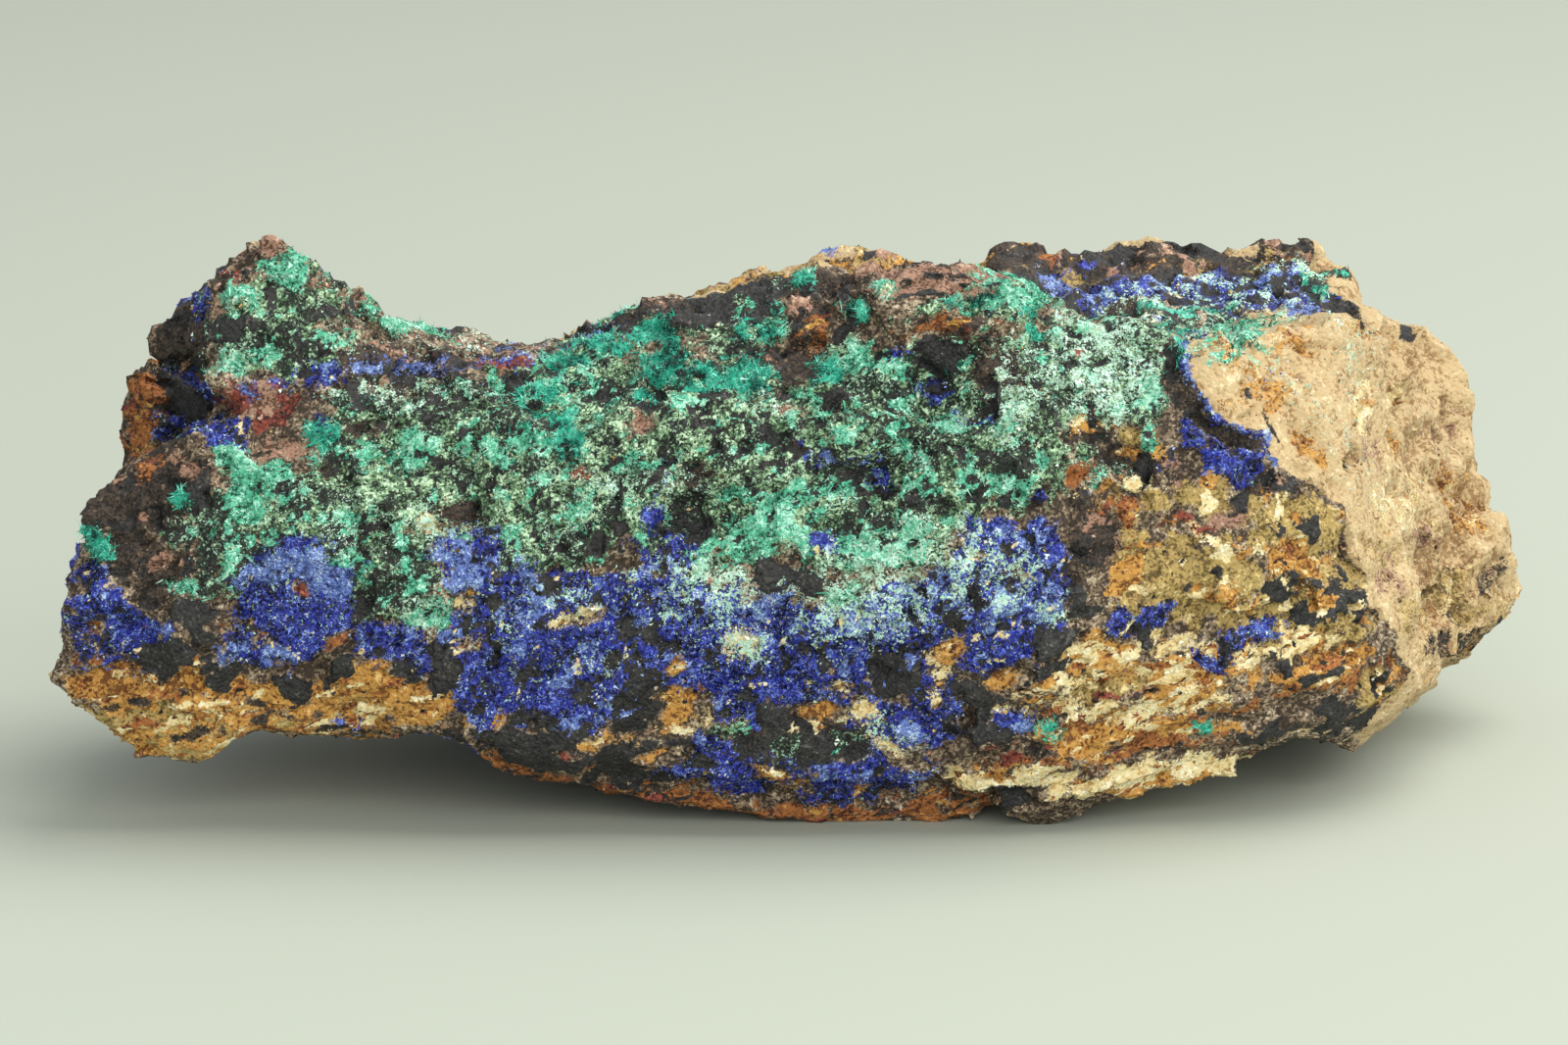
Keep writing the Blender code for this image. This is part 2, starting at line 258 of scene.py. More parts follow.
# %% Ovals of azurite, and of the frost over the crusts
FRONT_MAP |= {
    "azurite": [
        (-28, -10, 7, 6.4), (-30, -16, 5, 4.6), (-20, -11, 9, 6.6), (-10, -11.4, 8, 6.2), (-21, -17, 6, 4),
        (-12, -2, 3.8, 3), (0, -13, 9, 5), (10, -11.4, 8, 4.6), (20, -9.6, 7, 5.4), (22.8, -2, 5, 2.4), (27, -5, 2, 6),
        (3.8, -2, 1.6, 1.7), (15.4, -19.6, 2.8, 6.4), (10, -20.8, 5, 3), (5, -16.6, 5, 2), (-5, -17.6, 3, 2.6),
        (-7, -22, 3, 2), (-49, -7.8, 6.4, 6), (-49, -10, 5.4, 4), (-70, -9, 3.2, 1.6), (-67, -12, 5.6, 3),
        (-70.5, -6, 1.6, 2.6), (-39, -13.2, 5, 2.4), (-53.6, -12.6, 3, 2), (-47.6, 15, 2.4, 1.4),
        (-61.4, 9.9, 2.6, 0.9, -8), (-57.6, 10.6, 1, 1.6), (-57, 8.6, 2, 1.8), (-59.8, 13.9, 1.2, 1.3),
        (-59.6, 22.4, 0.5, 2.6, -12), (-47.3, 10.5, 0.8, 1), (-11.9, 4.7, 0.5, 1.4), (12.1, 17, 0.9, 0.6),
        (15.8, 13.9, 2, 0.9, 10), (20.2, 11.6, 1.5, 0.8), (1.6, 7.2, 1.6, 0.6, -35), (6.2, 6.2, 3, 0.5, -5),
        (10.2, 4.6, 1, 1), (42.2, 8.8, 1.3, 1.2), (45.6, 5.6, 2.8, 2.2), (39.4, 6.6, 0.8, 0.8), (32.2, 3.2, 0.9, 0.6),
        (35.8, -10.2, 2.8, 1, 8), (45.2, -12.8, 4.2, 1.6, 28), (49, -10.9, 3.4, 0.5, 8), (41.6, 16.6, 0.5, 1.8, 10),
        (23.8, -20.4, 1.6, 1), (-4, -25, 9, 2, -4), (8, -26.4, 7, 1.8, 4), (-44, -20.6, 2.6, 0.7, -12),
    ],
    "powder": [
        (-48.6, -4.6, 5.6, 3), (-31.6, -3, 4.2, 3), (-51.6, 29.8, 1.8, 0.4), (-53, 14, 2.6, 0.9, -10),
        (-41.8, 15.5, 1.8, 0.8), (-27, 17.6, 6, 0.5, 8), (-21.5, 18.6, 4.4, 0.6, 25), (-39.6, -12.6, 3.4, 1.2),
        (52.6, 13, 4.2, 0.8, -48), (58, 18.4, 3.2, 0.7, -65), (-26, -7, 2, 3), (-33, -7.6, 2, 3.4), (-37, 16.3, 3, 0.5, -5),
        (47.8, 7.6, 1.6, 1.4), (20.6, -10.8, 1.6, 1), (-57.2, -13.8, 1.2, 0.8),
        (-48.6, -4.6, 6.4, 3.8),
        (24, -8, 3, 2), (16, -7, 3, 1.6), (-2, -8.6, 3, 1.6), (8, -10, 3, 1.6),
    ],
    "frost": [
        (-8, -6.4, 7, 3.6), (-4, -12.2, 4, 1.8), (-22, -7.4, 3, 1.4), (-19, -14.8, 2.4, 1.2), (9, -7.6, 9, 4.2),
        (20, -6, 6, 4.6), (12.6, -2, 4.6, 2), (27, -9.4, 2, 1.2), (-17.6, 3.4, 3.4, 2.2), (-36, -0.4, 1.6, 2),
        (-22.6, -0.4, 1.8, 1), (-36.4, -9.2, 2.4, 1.6), (45, 18.4, 2.8, 1.4), (33, 16, 6, 6), (-44, -0.6, 2, 3),
        (-38, 13, 5, 1.4, 5), (-31, 18.9, 5, 0.5, 2), (-28.6, -11, 0.6, 2, 20), (24, 12.6, 3, 4), (-12, 3.6, 3, 1.6),
        (-56, 16.6, 2, 0.8), (-60.6, 14.6, 1.2, 0.6), (-2, 12, 2, 1.2), (10, -22, 3, 1.4),
    ],
}

# %% [markdown]
# ## The rock between the crusts
# Goethite makes the black nodules and the lining of the cavities. Hematite makes red patches,
# and rust is its browner, broken form. Limonite is orange, olive where it is mixed with
# fine mica. Clay washed into the lower beds is cream. Weathering turned the cap pink and the
# end that lay open tan.

# %% Ovals of the dark iron minerals
FRONT_MAP |= {
    "goethite": [
        (-50.4, 17.3, 3, 1.2), (-46, 21.4, 3, 0.7), (-55.6, 22.2, 0.6, 2.6), (-44.8, 23.8, 0.6, 2.2, 35),
        (-56.8, 20.2, 1.6, 1.2), (-62, 13.2, 1.8, 3.4), (-60.2, -10.2, 3.8, 2.2, -38), (-63, -14.2, 2.4, 1.7, 20),
        (-57.2, -15.6, 2.2, 2.6), (-59, -18.4, 2.4, 1, 15), (-51, -15.9, 1.1, 2.2, 35), (-46, -15.2, 1.2, 2.4, -35),
        (-38, -15.8, 3.2, 1, -22), (-34.2, -13.8, 1.6, 2.2), (-42.4, -8, 0.8, 3.6, -12), (-27.6, 14.8, 4.4, 0.8, 26),
        (-35.6, 12.5, 1.2, 1), (-13.2, 14.4, 1.2, 1.2), (-14.6, 11.8, 1.6, 1.1), (-11.4, 7.3, 0.8, 1.3),
        (-9.8, 0.8, 1.9, 2.2), (-19.7, -1.3, 1.4, 1.8), (-16.6, -1.6, 0.8, 1.4), (-30.2, -1.5, 1.2, 1.2),
        (-27.1, -2.2, 0.8, 1), (-23.8, -6.5, 0.8, 1.1), (-19.4, -8.3, 2.8, 1, 8), (-15, -10.4, 2.8, 1.2, -28),
        (-24, -10.4, 1, 1.2), (-29.3, -8.6, 0.7, 1.1), (-32.8, -10.8, 1.8, 0.8), (-26, -15.4, 1.5, 1.4),
        (-20.4, -17.4, 1.5, 0.7, -15), (-25.6, -19.3, 1.6, 0.6), (-14.6, -17, 2.4, 2.6), (-17, -14, 1, 0.6),
        (-21.2, -21.2, 1.7, 0.7), (-13.4, -21.8, 4, 1.1), (-1.4, -5.6, 1.8, 2), (1.6, -5.9, 1, 1.1),
        (4.8, 12.2, 1.5, 1.7), (-1.4, 8.7, 1.8, 1.5), (5.7, 19.6, 0.7, 2), (16.2, 16.8, 2.6, 2), (20.6, 12.8, 1.4, 1.6),
        (6.2, 4.3, 4.6, 1.9, -6), (22.5, 5.3, 0.8, 1), (11.4, -14.8, 3.1, 2.6), (16.9, -10.8, 1.2, 1.1),
        (21, -17.6, 2.8, 2.8), (27, -15.4, 2.8, 0.9, 25), (27.4, -11.9, 2, 1.6), (30.5, -8.5, 1.6, 1),
        (22.4, -22, 3.4, 1.4), (-0.4, -19.6, 1.6, 1.4), (2, -23.2, 5.4, 1.6), (-34.4, -23.2, 5, 1), (-25, -23.6, 5, 1.2, -14),
        (-16, -25.6, 5, 1.3, -8), (41.5, -6, 0.75, 0.75), (44.6, -4.8, 0.45, 0.35), (47.5, -2.4, 0.7, 0.8),
        (52.4, -1, 2.6, 0.6), (51, 3, 1, 1.3), (51, -6.8, 1.5, 1.4), (55.4, -6.8, 2.2, 3.6), (58.4, -8.2, 2, 1.4),
        (52.8, -9.4, 1.5, 1.2), (55, -14.8, 2.8, 0.7, 25), (51.4, -14.2, 1.1, 1.1), (56.3, -19.8, 2.4, 1.8, 20),
        (60, -20.6, 3.4, 0.9, 22), (50, -20.4, 1.6, 0.7, 20), (48.2, -21.9, 1.7, 0.5, 15), (61, -16.3, 0.8, 0.8),
        (23.2, -28, 2.4, 1), (49, 11, 2.4, 0.35, -62), (57.8, 7.1, 0.5, 0.9), (72.4, -12.4, 1, 1.4), (69, -13.8, 2.2, 0.7, 12),
        (6.4, -23.6, 3.6, 1), (-8, -24, 2, 0.8), (36.4, -11.6, 0.9, 0.7), (-29, -21.6, 1.4, 0.5),
        (-4, 26, 6, 0.7, 9), (-18, 23, 5, 0.6, 12), (-55, 22.4, 1.2, 2.6), (-48, 20.2, 2.4, 1.8, -20), (-51.4, 17, 2.4, 1.4), (-43.2, 13, 1.6, 2.4), (1.6, -21.6, 5, 2.2, -6), (-15, -20.6, 2.6, 1.8), (-24, -22.6, 5.4, 1.3, -8), (12.4, 23.4, 3, 0.35), (19, 24.8, 4, 0.3, -4),
        (-21, -22.8, 6.4, 1.5, -12), (-3, 22.6, 3, 0.7, 10),
        (-17, 21.6, 4, 0.5, 22), (-9, 24.6, 4, 0.5, 12), (-30, -20.8, 3, 0.8, -12),
        (-6, 23.6, 3, 0.9, 10), (1, 24.6, 2.6, 0.9), (-52.6, 22.6, 0.6, 1.5, 20), (-49.6, 24.6, 0.5, 1.3, -30),
        (-6.4, 22.4, 4.6, 1.5, 14), (1.4, 24, 2.4, 1.2), (-12.4, 20.8, 3, 1, 18),
        (-3, 21.6, 3, 1.2), (-9, 21.2, 2.4, 1), (2.4, 22.6, 1.4, 1.6), (-22, -21.4, 6, 1.2, -14), (-17, -23.6, 4, 0.8, -10),
    ],
    "brown": [
        (-64.4, 2.8, 6.8, 5), (-62, 20, 3.2, 4.5), (-62, 14, 3, 5), (-63, -3.8, 3.2, 1.4, 10), (-39.6, 16, 5.6, 2.4),
        (-35, 16.6, 3.8, 2), (-20, 21.6, 8, 1.1, 14), (-6, 23.8, 8, 1.8, 12), (2.8, 20.6, 1.7, 1.9), (22, 15.6, 2.6, 1.8),
        (-0.3, 16.3, 2.9, 1.5, -5), (40.2, 16.4, 1.5, 3, 12), (43, 12.2, 3.2, 1.9, -40), (31.2, 9.4, 2.2, 1.8),
        (48, 4, 2.6, 1.3, 35), (31, -1.6, 1.8, 3.8), (-8.8, 4.4, 2.4, 1.1), (-32.8, 0.8, 2.4, 1.2), (-67.6, -3, 1.8, 2.6),
        (-64, -7, 1.4, 2.4), (-42.6, 9.6, 1.4, 1), (36, 6, 4, 1), (46.4, 8.6, 2, 1, -40), (70, -9.5, 4, 4),
        (-41, 13.4, 2, 1.4), (-46.6, 5, 1.6, 0.8),
        (-9, 25.2, 15, 1.5, 9), (1.4, 16, 4.4, 1.5, -5), (36, 5.4, 3.6, 2.4, -10), (2, -22, 7, 3),
        (-2, 23.4, 8, 1.5, 10),
        (-18, 21, 6.4, 1.3, 22), (-12.6, 24, 5, 1.2, 14),
        # These four brown ovals run along the underside of the left lip. They are partly its own dark streaks and
        # partly painted shade where the lip faces down.
        (-52, -19, 3, 0.6, -4), (-58, -22, 2.6, 0.6), (-46, -21.8, 2.4, 0.5), (-66, -18.6, 2, 0.7),
    ],
    "hematite": [
        (-53.4, 12, 4, 2.4), (-27.8, 17, 4.2, 0.9, 8), (-22, -23.4, 1.5, 0.4, -15), (24.2, -23.6, 6.2, 0.7, -3),
        (52.8, -23.9, 3.2, 0.6, 6), (27.4, -18.6, 2.6, 0.4, -20), (-9.4, 24, 1.9, 0.8), (-49, -7, 0.9, 0.6),
        (-33, 14.6, 1, 0.6), (39.4, 0.4, 2.4, 0.7, -12), (-57.6, 24.4, 1.8, 1.2), (-10.6, -19.6, 1.8, 0.3, 20),
        (36, -17.4, 2, 0.3, 15), (30, 17.6, 0.6, 0.5),
        (-53.8, 12.8, 4.6, 2.4),
    ],
    "rust": [
        (-66.4, 12, 2.4, 5.4, 4), (-27, -26.6, 5, 1.3, -14), (-12, -29.6, 8, 1.5, -10), (4, -31.4, 10, 1.5, -2),
        (16, -30.6, 6, 1.2, 8), (24.2, -24.2, 6.4, 1.2, -3), (34.4, 1, 1.8, 1.2), (39.2, 0, 2.4, 0.9, -12),
        (-45.6, -12.8, 2, 0.8, 15), (16.4, 19.6, 2.9, 0.7, 8), (2.9, 19, 1.4, 1.1), (-72.4, -13, 1, 1),
        (-69.4, -13.4, 0.9, 0.6), (-70, -11, 0.8, 0.5), (-66.6, -13.6, 0.7, 0.5), (57.6, -16, 4.4, 1.6, 12),
        (45, -18.8, 6, 0.7, 12), (38, -23, 6, 0.7, 5), (-31.8, -12.4, 0.6, 0.5), (-25.5, -14.2, 0.6, 0.4),
        (-20, 4.8, 0.9, 0.6), (-57.4, -10.8, 0.8, 0.6), (29.6, 4.6, 1.4, 1.2), (-53.2, -12.4, 0.5, 0.4),
        (29.4, -20.6, 3, 0.5, -12), (-65, 7, 2, 1.2),
        (3.2, 20.8, 1, 2.6), (17, 19.6, 4, 0.8), (-26, -26.2, 6, 1.3, -18), (-12, -28.8, 9, 1.9, -8), (4, -30.2, 11, 2, -2), (16, -29.6, 6, 1.8, 10),
        # These three rust ovals run along the underside of the left lip. They are partly its own dark streaks and
        # partly painted shade where the lip faces down.
        (-61, -18, 3, 0.5, 4), (-55, -20.6, 3, 0.5), (-42, -19.4, 2.6, 0.5, -10),
    ],
}

# %% Ovals of the pale rock
FRONT_MAP |= {
    "limonite": [
        (-70, -16.6, 3.6, 1.6), (-64, -17.2, 5, 1.7, 8), (-53, -17.6, 4.4, 1.7), (-42, -16.8, 5, 2.4, -8),
        (-37, -19, 3, 2.2), (32.2, -14.4, 2.6, 2.4), (22.4, -15.9, 1.8, 1), (40, -15.6, 9, 2.4, 8), (55, -15, 5, 2, 15),
        (37, -21.4, 10, 1.8, 4), (-11.2, -18.6, 2.2, 1.6), (-11.2, -14.6, 1, 0.6), (-18.8, -22.1, 1.6, 0.4, 4),
        (-13.4, -23.4, 1.1, 0.4, 30), (-0.9, -25.7, 1.8, 0.6, -35), (2.4, -26.4, 0.8, 0.7), (-61, -21, 4, 2),
        (7.6, -27, 0.8, 0.5), (-32.2, -19.9, 0.8, 0.8), (-28.6, -19.6, 0.8, 0.8), (52, -4, 3, 2), (66, -16, 4, 1, 12),
        (3.4, -18.4, 1.6, 0.6), (17, -13.6, 1, 1.4), (-49, -21.6, 6, 1, 2), (31, 10, 1.6, 0.8), (36.6, 7.4, 2, 0.8),
        (-60, -20.4, 13, 4.6, -6), (-46, -20, 8, 3, 2),
        (30, -23, 6, 0.8, 4),
    ],
    "olive": [
        (-62, -20.6, 7, 3, -6), (-48, -20.4, 9, 2.2, 2), (43, -5.8, 7.6, 4.6), (51.4, -1.8, 4, 3.4), (54.4, 0.4, 3, 2),
        (35, 8, 3.4, 1.8), (36, 2.6, 4.4, 2.2), (47, -9, 5.4, 1.8), (35.4, -5, 3, 4.4), (69.6, -9.4, 5, 5.4),
        (42, 3, 4, 2), (49, 1.6, 3, 1), (60, -17, 2, 2),
        (54, -8, 6, 6.4), (-58, -21.4, 5, 1, 10), (-62, -22.6, 3.4, 1.4, -30),
        (-59, -21, 4, 1.4, -8), (-66, -20, 3, 0.8, -10), (-45, -19, 4, 0.8, -6),
        (33, -17, 4, 1.4, 10),
    ],
    "clay": [
        (-60, -19, 6, 0.6, -4), (-50, -21.4, 4, 0.5), (-11, -20.4, 2.3, 0.9), (2.8, -19.8, 1.9, 1.2), (7.8, -19.4, 2.3, 1.4),
        (32, -18.2, 6.4, 3, 10), (28, -17, 4, 1.4, 15), (23.2, -26.4, 6, 1.3, 6), (39, -26, 10, 1.7, 5),
        (47.4, -25.2, 2.6, 1.4), (44, -1.4, 6, 0.5, -16), (40, -12.6, 2.8, 1.4), (49, -13.2, 3, 1.1, 20),
        (53.4, -11.8, 2.4, 1), (54, -22.4, 3, 0.9, 8), (40, -18.8, 5, 1.2, 8), (-20, -9.3, 1.8, 0.6), (-23, -10.6, 0.8, 0.8),
        (6, -15.8, 0.8, 0.6), (16.2, -15.4, 1.3, 2.6), (-4, -12.4, 1.4, 0.8), (-36, -0.6, 1, 1.2), (35.6, 4, 3, 1),
        (-33, -8.8, 1, 0.5), (43, -7, 2, 1), (-7.6, -18.7, 0.6, 0.6), (11, -23.6, 1.6, 0.5, -15),
        (36, -15.4, 6, 1.6, 10),
        (38, -18, 6, 1.2, 8), (33, -13.2, 4, 1, 10),
    ],
    "pink": [
        (-45.5, 25.4, 6.4, 0.9, -32), (13, 25.6, 6.4, 1.9, 2), (-14.4, 10.2, 1.6, 1), (1.8, 22.6, 1.2, 1.4),
        (-58, 24.6, 1.8, 1.3), (1.4, 11.6, 1.4, 0.7), (31.4, -1.8, 2.4, 3.4), (45, 1, 2.2, 1.2), (-63, -3.2, 2.6, 0.7, 10),
        (-51.6, 7.3, 3.6, 1.2), (-22, 22.4, 8, 0.7, 14), (-33, 18.6, 4, 0.6), (-3.4, -7.8, 0.6, 0.5), (-41, 18.4, 4, 0.6, -20),
        (16, 25.6, 9.6, 2.4), (8.6, 26.2, 3, 1.2, 10),
        (-60, 5.2, 2, 1.2),
        (-47, 24.9, 6, 1.1, -37), (-52.4, 28.6, 1.6, 0.8, -20), (-56.4, 23.6, 1.4, 2, -30),
    ],
}

# %% [markdown]
# ## From ovals to patches
# Three rules turn the ovals into patches that look grown. An edge wanders by noise, and a
# large patch wanders more than a small one. The ovals are laid from the largest to the
# smallest, and each pushes aside what lies under it, so a nodule always shows. And a few
# grains of one mineral are included in another, in sizes that suit the pair. Each patch ends
# up as a weight from 0 to 1 at every point of the skin.

# %% Noise on the skin
def noise_field(places, size, seed, octaves=4):
    """Slow noise of about -1 to 1 at each place, with details down to a part of the size."""
    offset = Vector((seed * 3.7, seed * 1.3, -seed * 2.1))
    return np.array([noise.fractal(Vector(p) / size + offset, 0.7, 2.0, octaves) for p in places])


# %% One oval's weight
def oval_depth(places, oval):
    """How deep inside an oval each place lies, in mm. It is negative outside."""
    across, upward, half_width, half_height = oval[:4]
    tilt = math.radians(oval[4]) if len(oval) > 4 else 0.0
    right = places[:, 0] - across
    up = places[:, 1] - upward
    along = (right * math.cos(tilt) + up * math.sin(tilt)) / half_width
    aside = (up * math.cos(tilt) - right * math.sin(tilt)) / half_height
    return (1 - np.hypot(along, aside)) * min(half_width, half_height)


WANDER = 0.9                 # mm that the edge of an oval 1 mm in half height wanders
SOFTNESS = {
    "goethite": 0.25, "limonite": 1.2, "clay": 1.1, "olive": 1.6, "rust": 1.0, "pink": 1.2, "brown": 1.0,
    "frost": 1.6, "powder": 1.2, "mint": 0.9,
}
USUAL_SOFTNESS = 0.55        # mm over which a patch fades out, where it is not listed above


def oval_weight(oval, name, edge_noise):
    depth = oval_depth(drawn, oval) + edge_noise * WANDER * math.sqrt(min(oval[2], oval[3]))
    return np.clip(0.5 + depth / SOFTNESS.get(name, USUAL_SOFTNESS) / 2, 0, 1)


# %% Lay the ovals, from the largest to the smallest
# The order that the minerals grew in, and are painted in, from the bottom up.
PAINT_ORDER = (
    "tan", "brown", "limonite", "olive", "clay", "pink", "rust", "hematite",
    "sage", "speckled", "mint", "teal", "azurite", "powder", "frost", "goethite",
)


def lay(name, weight):
    """Lays a patch of a mineral over the map, and pushes aside what would cover it."""
    for other in PAINT_ORDER[PAINT_ORDER.index(name) + 1:]:
        if other != "frost":
            minerals[other] *= 1 - weight
    minerals[name] = np.maximum(minerals[name], weight)


def by_size(ovals_of):
    """(name, oval) pairs of a map, the largest oval first."""
    pairs = [(name, oval) for name, ovals in ovals_of.items() for oval in ovals]
    return sorted(pairs, key=lambda pair: -pair[1][2] * pair[1][3])


minerals = {name: np.zeros(len(points)) for name in PAINT_ORDER}
edge_noises = [noise_field(points, 2.6, seed) for seed in range(4)]
for turn, (name, oval) in enumerate(by_size(FRONT_MAP)):
    weight = oval_weight(oval, name, edge_noises[turn % 4]) * on_front
    if name == "frost":
        minerals["frost"] = np.maximum(minerals["frost"], weight)
    else:
        lay(name, weight)

# %% [markdown]
# ## Two exact things
# The tan face ends at a crisp curved edge, where a slab of the crust broke away. It is drawn
# as a line, not as ovals. The blue rosette at the left grew outwards in rings.

# %% The edge of the tan face
# Points of the edge, from low to high, as (right, up).
TAN_EDGE = [
    (66, -19), (65, -15), (62.5, -11.7), (60.4, -9.4), (57.9, -2.9), (57.7, -0.6), (56.8, 2.1),
    (51.9, 5.3), (49.4, 6.4), (49, 8.9), (46.1, 10.4), (43.9, 12.4), (42.3, 15), (41.6, 19.5), (52, 24),
]
EDGE_SOFTNESS = 0.6          # mm
edge_across, edge_upward = np.array(TAN_EDGE).T
past_edge = drawn[:, 0] - np.interp(drawn[:, 1], edge_upward, edge_across) + edge_noises[0] * 0.8
open_end = np.clip(past_edge / EDGE_SOFTNESS + 0.5, 0, 1) * on_front
lay("tan", open_end)
minerals["frost"] *= 1 - open_end
FILM = 0.56                  # most stains on the open end are films, full of gaps
ON_TAN = {
    "powder": [(52.4, 13.2, 4, 0.2, -46), (47.6, 16, 3, 0.25, -30), (46, 15.4, 2, 0.25, -20)],
    "mint": [(46.4, 19.3, 3.6, 2), (51.6, 21.6, 3.4, 0.7, 8), (44.6, 17.2, 1.8, 1)],
    "frost": [(45, 17.6, 2.4, 1.6), (52.4, 13.2, 5, 0.6, -46), (55, 10.4, 4, 0.5, -50), (58, 17.4, 1.2, 3.8, -12),
              (57, 21, 1.4, 1.2), (48, 16, 3, 0.5, -30)],
    "goethite": [(48, 12.6, 1.8, 0.3, -62), (49.4, 9.8, 1, 0.4, -50), (57.8, 7.1, 0.4, 0.8), (72.6, -13.4, 2, 0.9, 30),
                 (69, -15.4, 2.4, 0.8, 20), (74, -12, 1, 1.2)],
    "limonite": [(44.6, 18.4, 1.2, 3, 10), (53, 18, 4, 2), (47, 11.6, 2, 1, -40), (60, 20, 3, 2, -40),
                 (70, -14, 6, 1.4, 20), (52, 15, 2, 1, -50), (61, -12, 1.4, 3), (69, 4, 2, 3),
                 (49, 13.6, 5, 2.4, -45), (54, 8, 3, 1.4, -50), (63, 8, 1.4, 4), (71, 1, 1.6, 4)],
    "olive": [(68, -10.6, 5, 4.6), (61.6, -3, 2.6, 4), (72, -7, 3, 3), (70, -9, 7, 7), (66, -14, 4, 3)],
    "brown": [(69, -12.6, 4, 2.4), (73, -6, 1.6, 2.6), (66, -5, 1.4, 2)],
    "clay": [(59, 12, 2, 3), (62, 2, 2.4, 3), (66, 4, 2, 2.6), (64.6, 13, 1.4, 2)],
    "pink": [(66, -1, 3, 4), (62, -6, 2, 3), (60, 8, 2, 3), (68, 9, 2, 3)],
}
RIM_WIDTH = 0.5              # mm, half the width of the thin blue line along the upper edge
in_rim = (drawn[:, 1] > 6) & (drawn[:, 1] < 20) & on_front
lay("powder", np.clip(1.4 - np.abs(past_edge + RIM_WIDTH) / RIM_WIDTH, 0, 0.8) * in_rim)
for turn, (name, oval) in enumerate(by_size(ON_TAN)):
    patch = oval_weight(oval, name, edge_noises[turn % 4]) * open_end
    lay(name, patch * (1.0 if name in ("goethite", "mint") else FILM))

# %% The rings of the rosette
ROSETTE = np.array((-49.0, -7.6))
ROSETTE_RADIUS = 6.4
RING_SPACING = 1.5
ROSETTE_PURITY = 0.85        # the share of the usual inclusions that the rosette is free of
from_rosette = np.linalg.norm((drawn - ROSETTE) * (1, 1.15), axis=1) + edge_noises[1] * 0.5
in_rosette = np.clip(ROSETTE_RADIUS - from_rosette, 0, 1) * on_front
rings = np.cos(from_rosette / RING_SPACING * math.tau) * in_rosette
minerals["frost"] = np.maximum(minerals["frost"], np.clip(rings, 0, 1) * 0.5)
print("points in the rosette:", int(np.sum(in_rosette > 0.5)))

# %% [markdown]
# ## The sides that the front view does not show
# The ridge behind has its own azurite band and tan tops. The rest, seen only when the stone is
# turned in the hand, follows what such a stone does: the matrix is brown and ochre in soft
# patches, the weathered tan wraps round the exposed end, and thin films of green and blue
# follow the cracks. Those patches come from slow noise, with a threshold for how common each
# mineral is.

# %% Patches on the hidden sides
# How common each is on a hidden side, and how wide its patches are in mm, from the bottom up.
HIDDEN_MAP = {
    "brown": (1.0, 15.0), "limonite": (0.34, 24.0), "tan": (0.34, 32.0), "olive": (0.24, 26.0),
    "clay": (0.06, 14.0), "pink": (0.12, 18.0), "rust": (0.16, 16.0), "hematite": (0.02, 10.0),
    "speckled": (0.08, 22.0), "sage": (0.05, 20.0), "mint": (0.012, 12.0), "azurite": (0.025, 18.0),
    "goethite": (0.06, 12.0),
}
EDGE_CONTRAST, HIDDEN_CONTRAST = 3.4, 2.2


def noise_weight(places, share, size, seed, contrast=EDGE_CONTRAST):
    """Patches of slow noise that cover about that share of the places."""
    if share >= 1:
        return np.ones(len(places))
    slow = noise_field(places, size, seed, 5)
    return np.clip((slow - np.quantile(slow, 1 - share)) * contrast + 0.5, 0, 1)


TURNED_AWAY = 0.45           # how far a normal points back where the front view cannot see it
hidden = np.flatnonzero(~on_front | (normals[:, 1] > TURNED_AWAY))
on_hidden = np.zeros(len(points))
on_hidden[hidden] = 1.0
for seed, (name, (share, size)) in enumerate(HIDDEN_MAP.items()):
    weight = np.zeros(len(points))
    weight[hidden] = noise_weight(points[hidden], share, size, seed + 11, HIDDEN_CONTRAST)
    lay(name, weight)
minerals["frost"] *= 1 - on_hidden
print("hidden points:", len(hidden))

# %% The ridge behind
BACK_MAP = {
    "brown": [(45, 26.5, 20, 4.6), (28, 26, 8, 3.4), (58, 21, 5, 5)],
    "tan": [(0, 27.4, 8, 1.5, 8), (12, 28.6, 8, 1.1), (37.4, 29.8, 3, 0.5), (47, 27.6, 1, 0.8), (66, 16, 6, 8, -30)],
    "azurite": [(46, 24, 11, 2), (54, 23.8, 5, 2.4, -12), (35, 23.4, 6, 1.2), (31, 26.8, 1.6, 0.6),
                (46, 22.4, 6, 2), (33.6, 26.2, 1, 0.5)],
    "powder": [(30, 23, 6, 1), (44, 22.8, 7, 2.4), (7, 28.8, 3, 0.7), (28.6, 24.6, 2, 0.6), (53, 22.8, 4, 1.6),
               (38, 24.4, 3, 0.8), (49, 24.6, 3, 0.8)],
    "frost": [(47, 22.8, 10, 2.6), (38, 22.4, 6, 1.6), (61, 23, 1.6, 1.2), (54, 25, 4, 1.6)],
    "teal": [(56, 25.4, 2.6, 1.6), (40, 21.4, 5, 0.7)],
    "goethite": [(61.8, 19.4, 2, 3.2, 30), (44, 27.8, 5, 0.9), (36, 25.4, 3, 0.8), (31, 27.8, 3, 0.7),
                 (53, 27.6, 3, 0.8), (58.6, 24, 1.2, 2)],
    "olive": [(29, 25.4, 2.4, 0.6), (41, 26.2, 2.4, 0.5), (51, 26.6, 2, 0.5), (59.4, 26, 1.4, 0.8)],
    "pink": [(48, 28.4, 4, 0.7), (36.6, 27.4, 2, 0.5), (56, 27.8, 2, 0.6)],
    "rust": [(27, 26.6, 1, 0.6), (37.6, 25.8, 1.2, 0.6), (60, 25, 1.2, 1)],
    "limonite": [(-5, 26.4, 4, 1, 10), (12, 28.6, 5, 0.9), (1, 28, 3, 0.8, 8)],
}
BACK_FROM = 17.0             # how high on the drawing plane the ridge behind begins to show
seen_behind = np.clip((drawn[:, 1] - BACK_FROM) / 2, 0, 1) * ~on_front * (normals[:, 1] < 0.4)
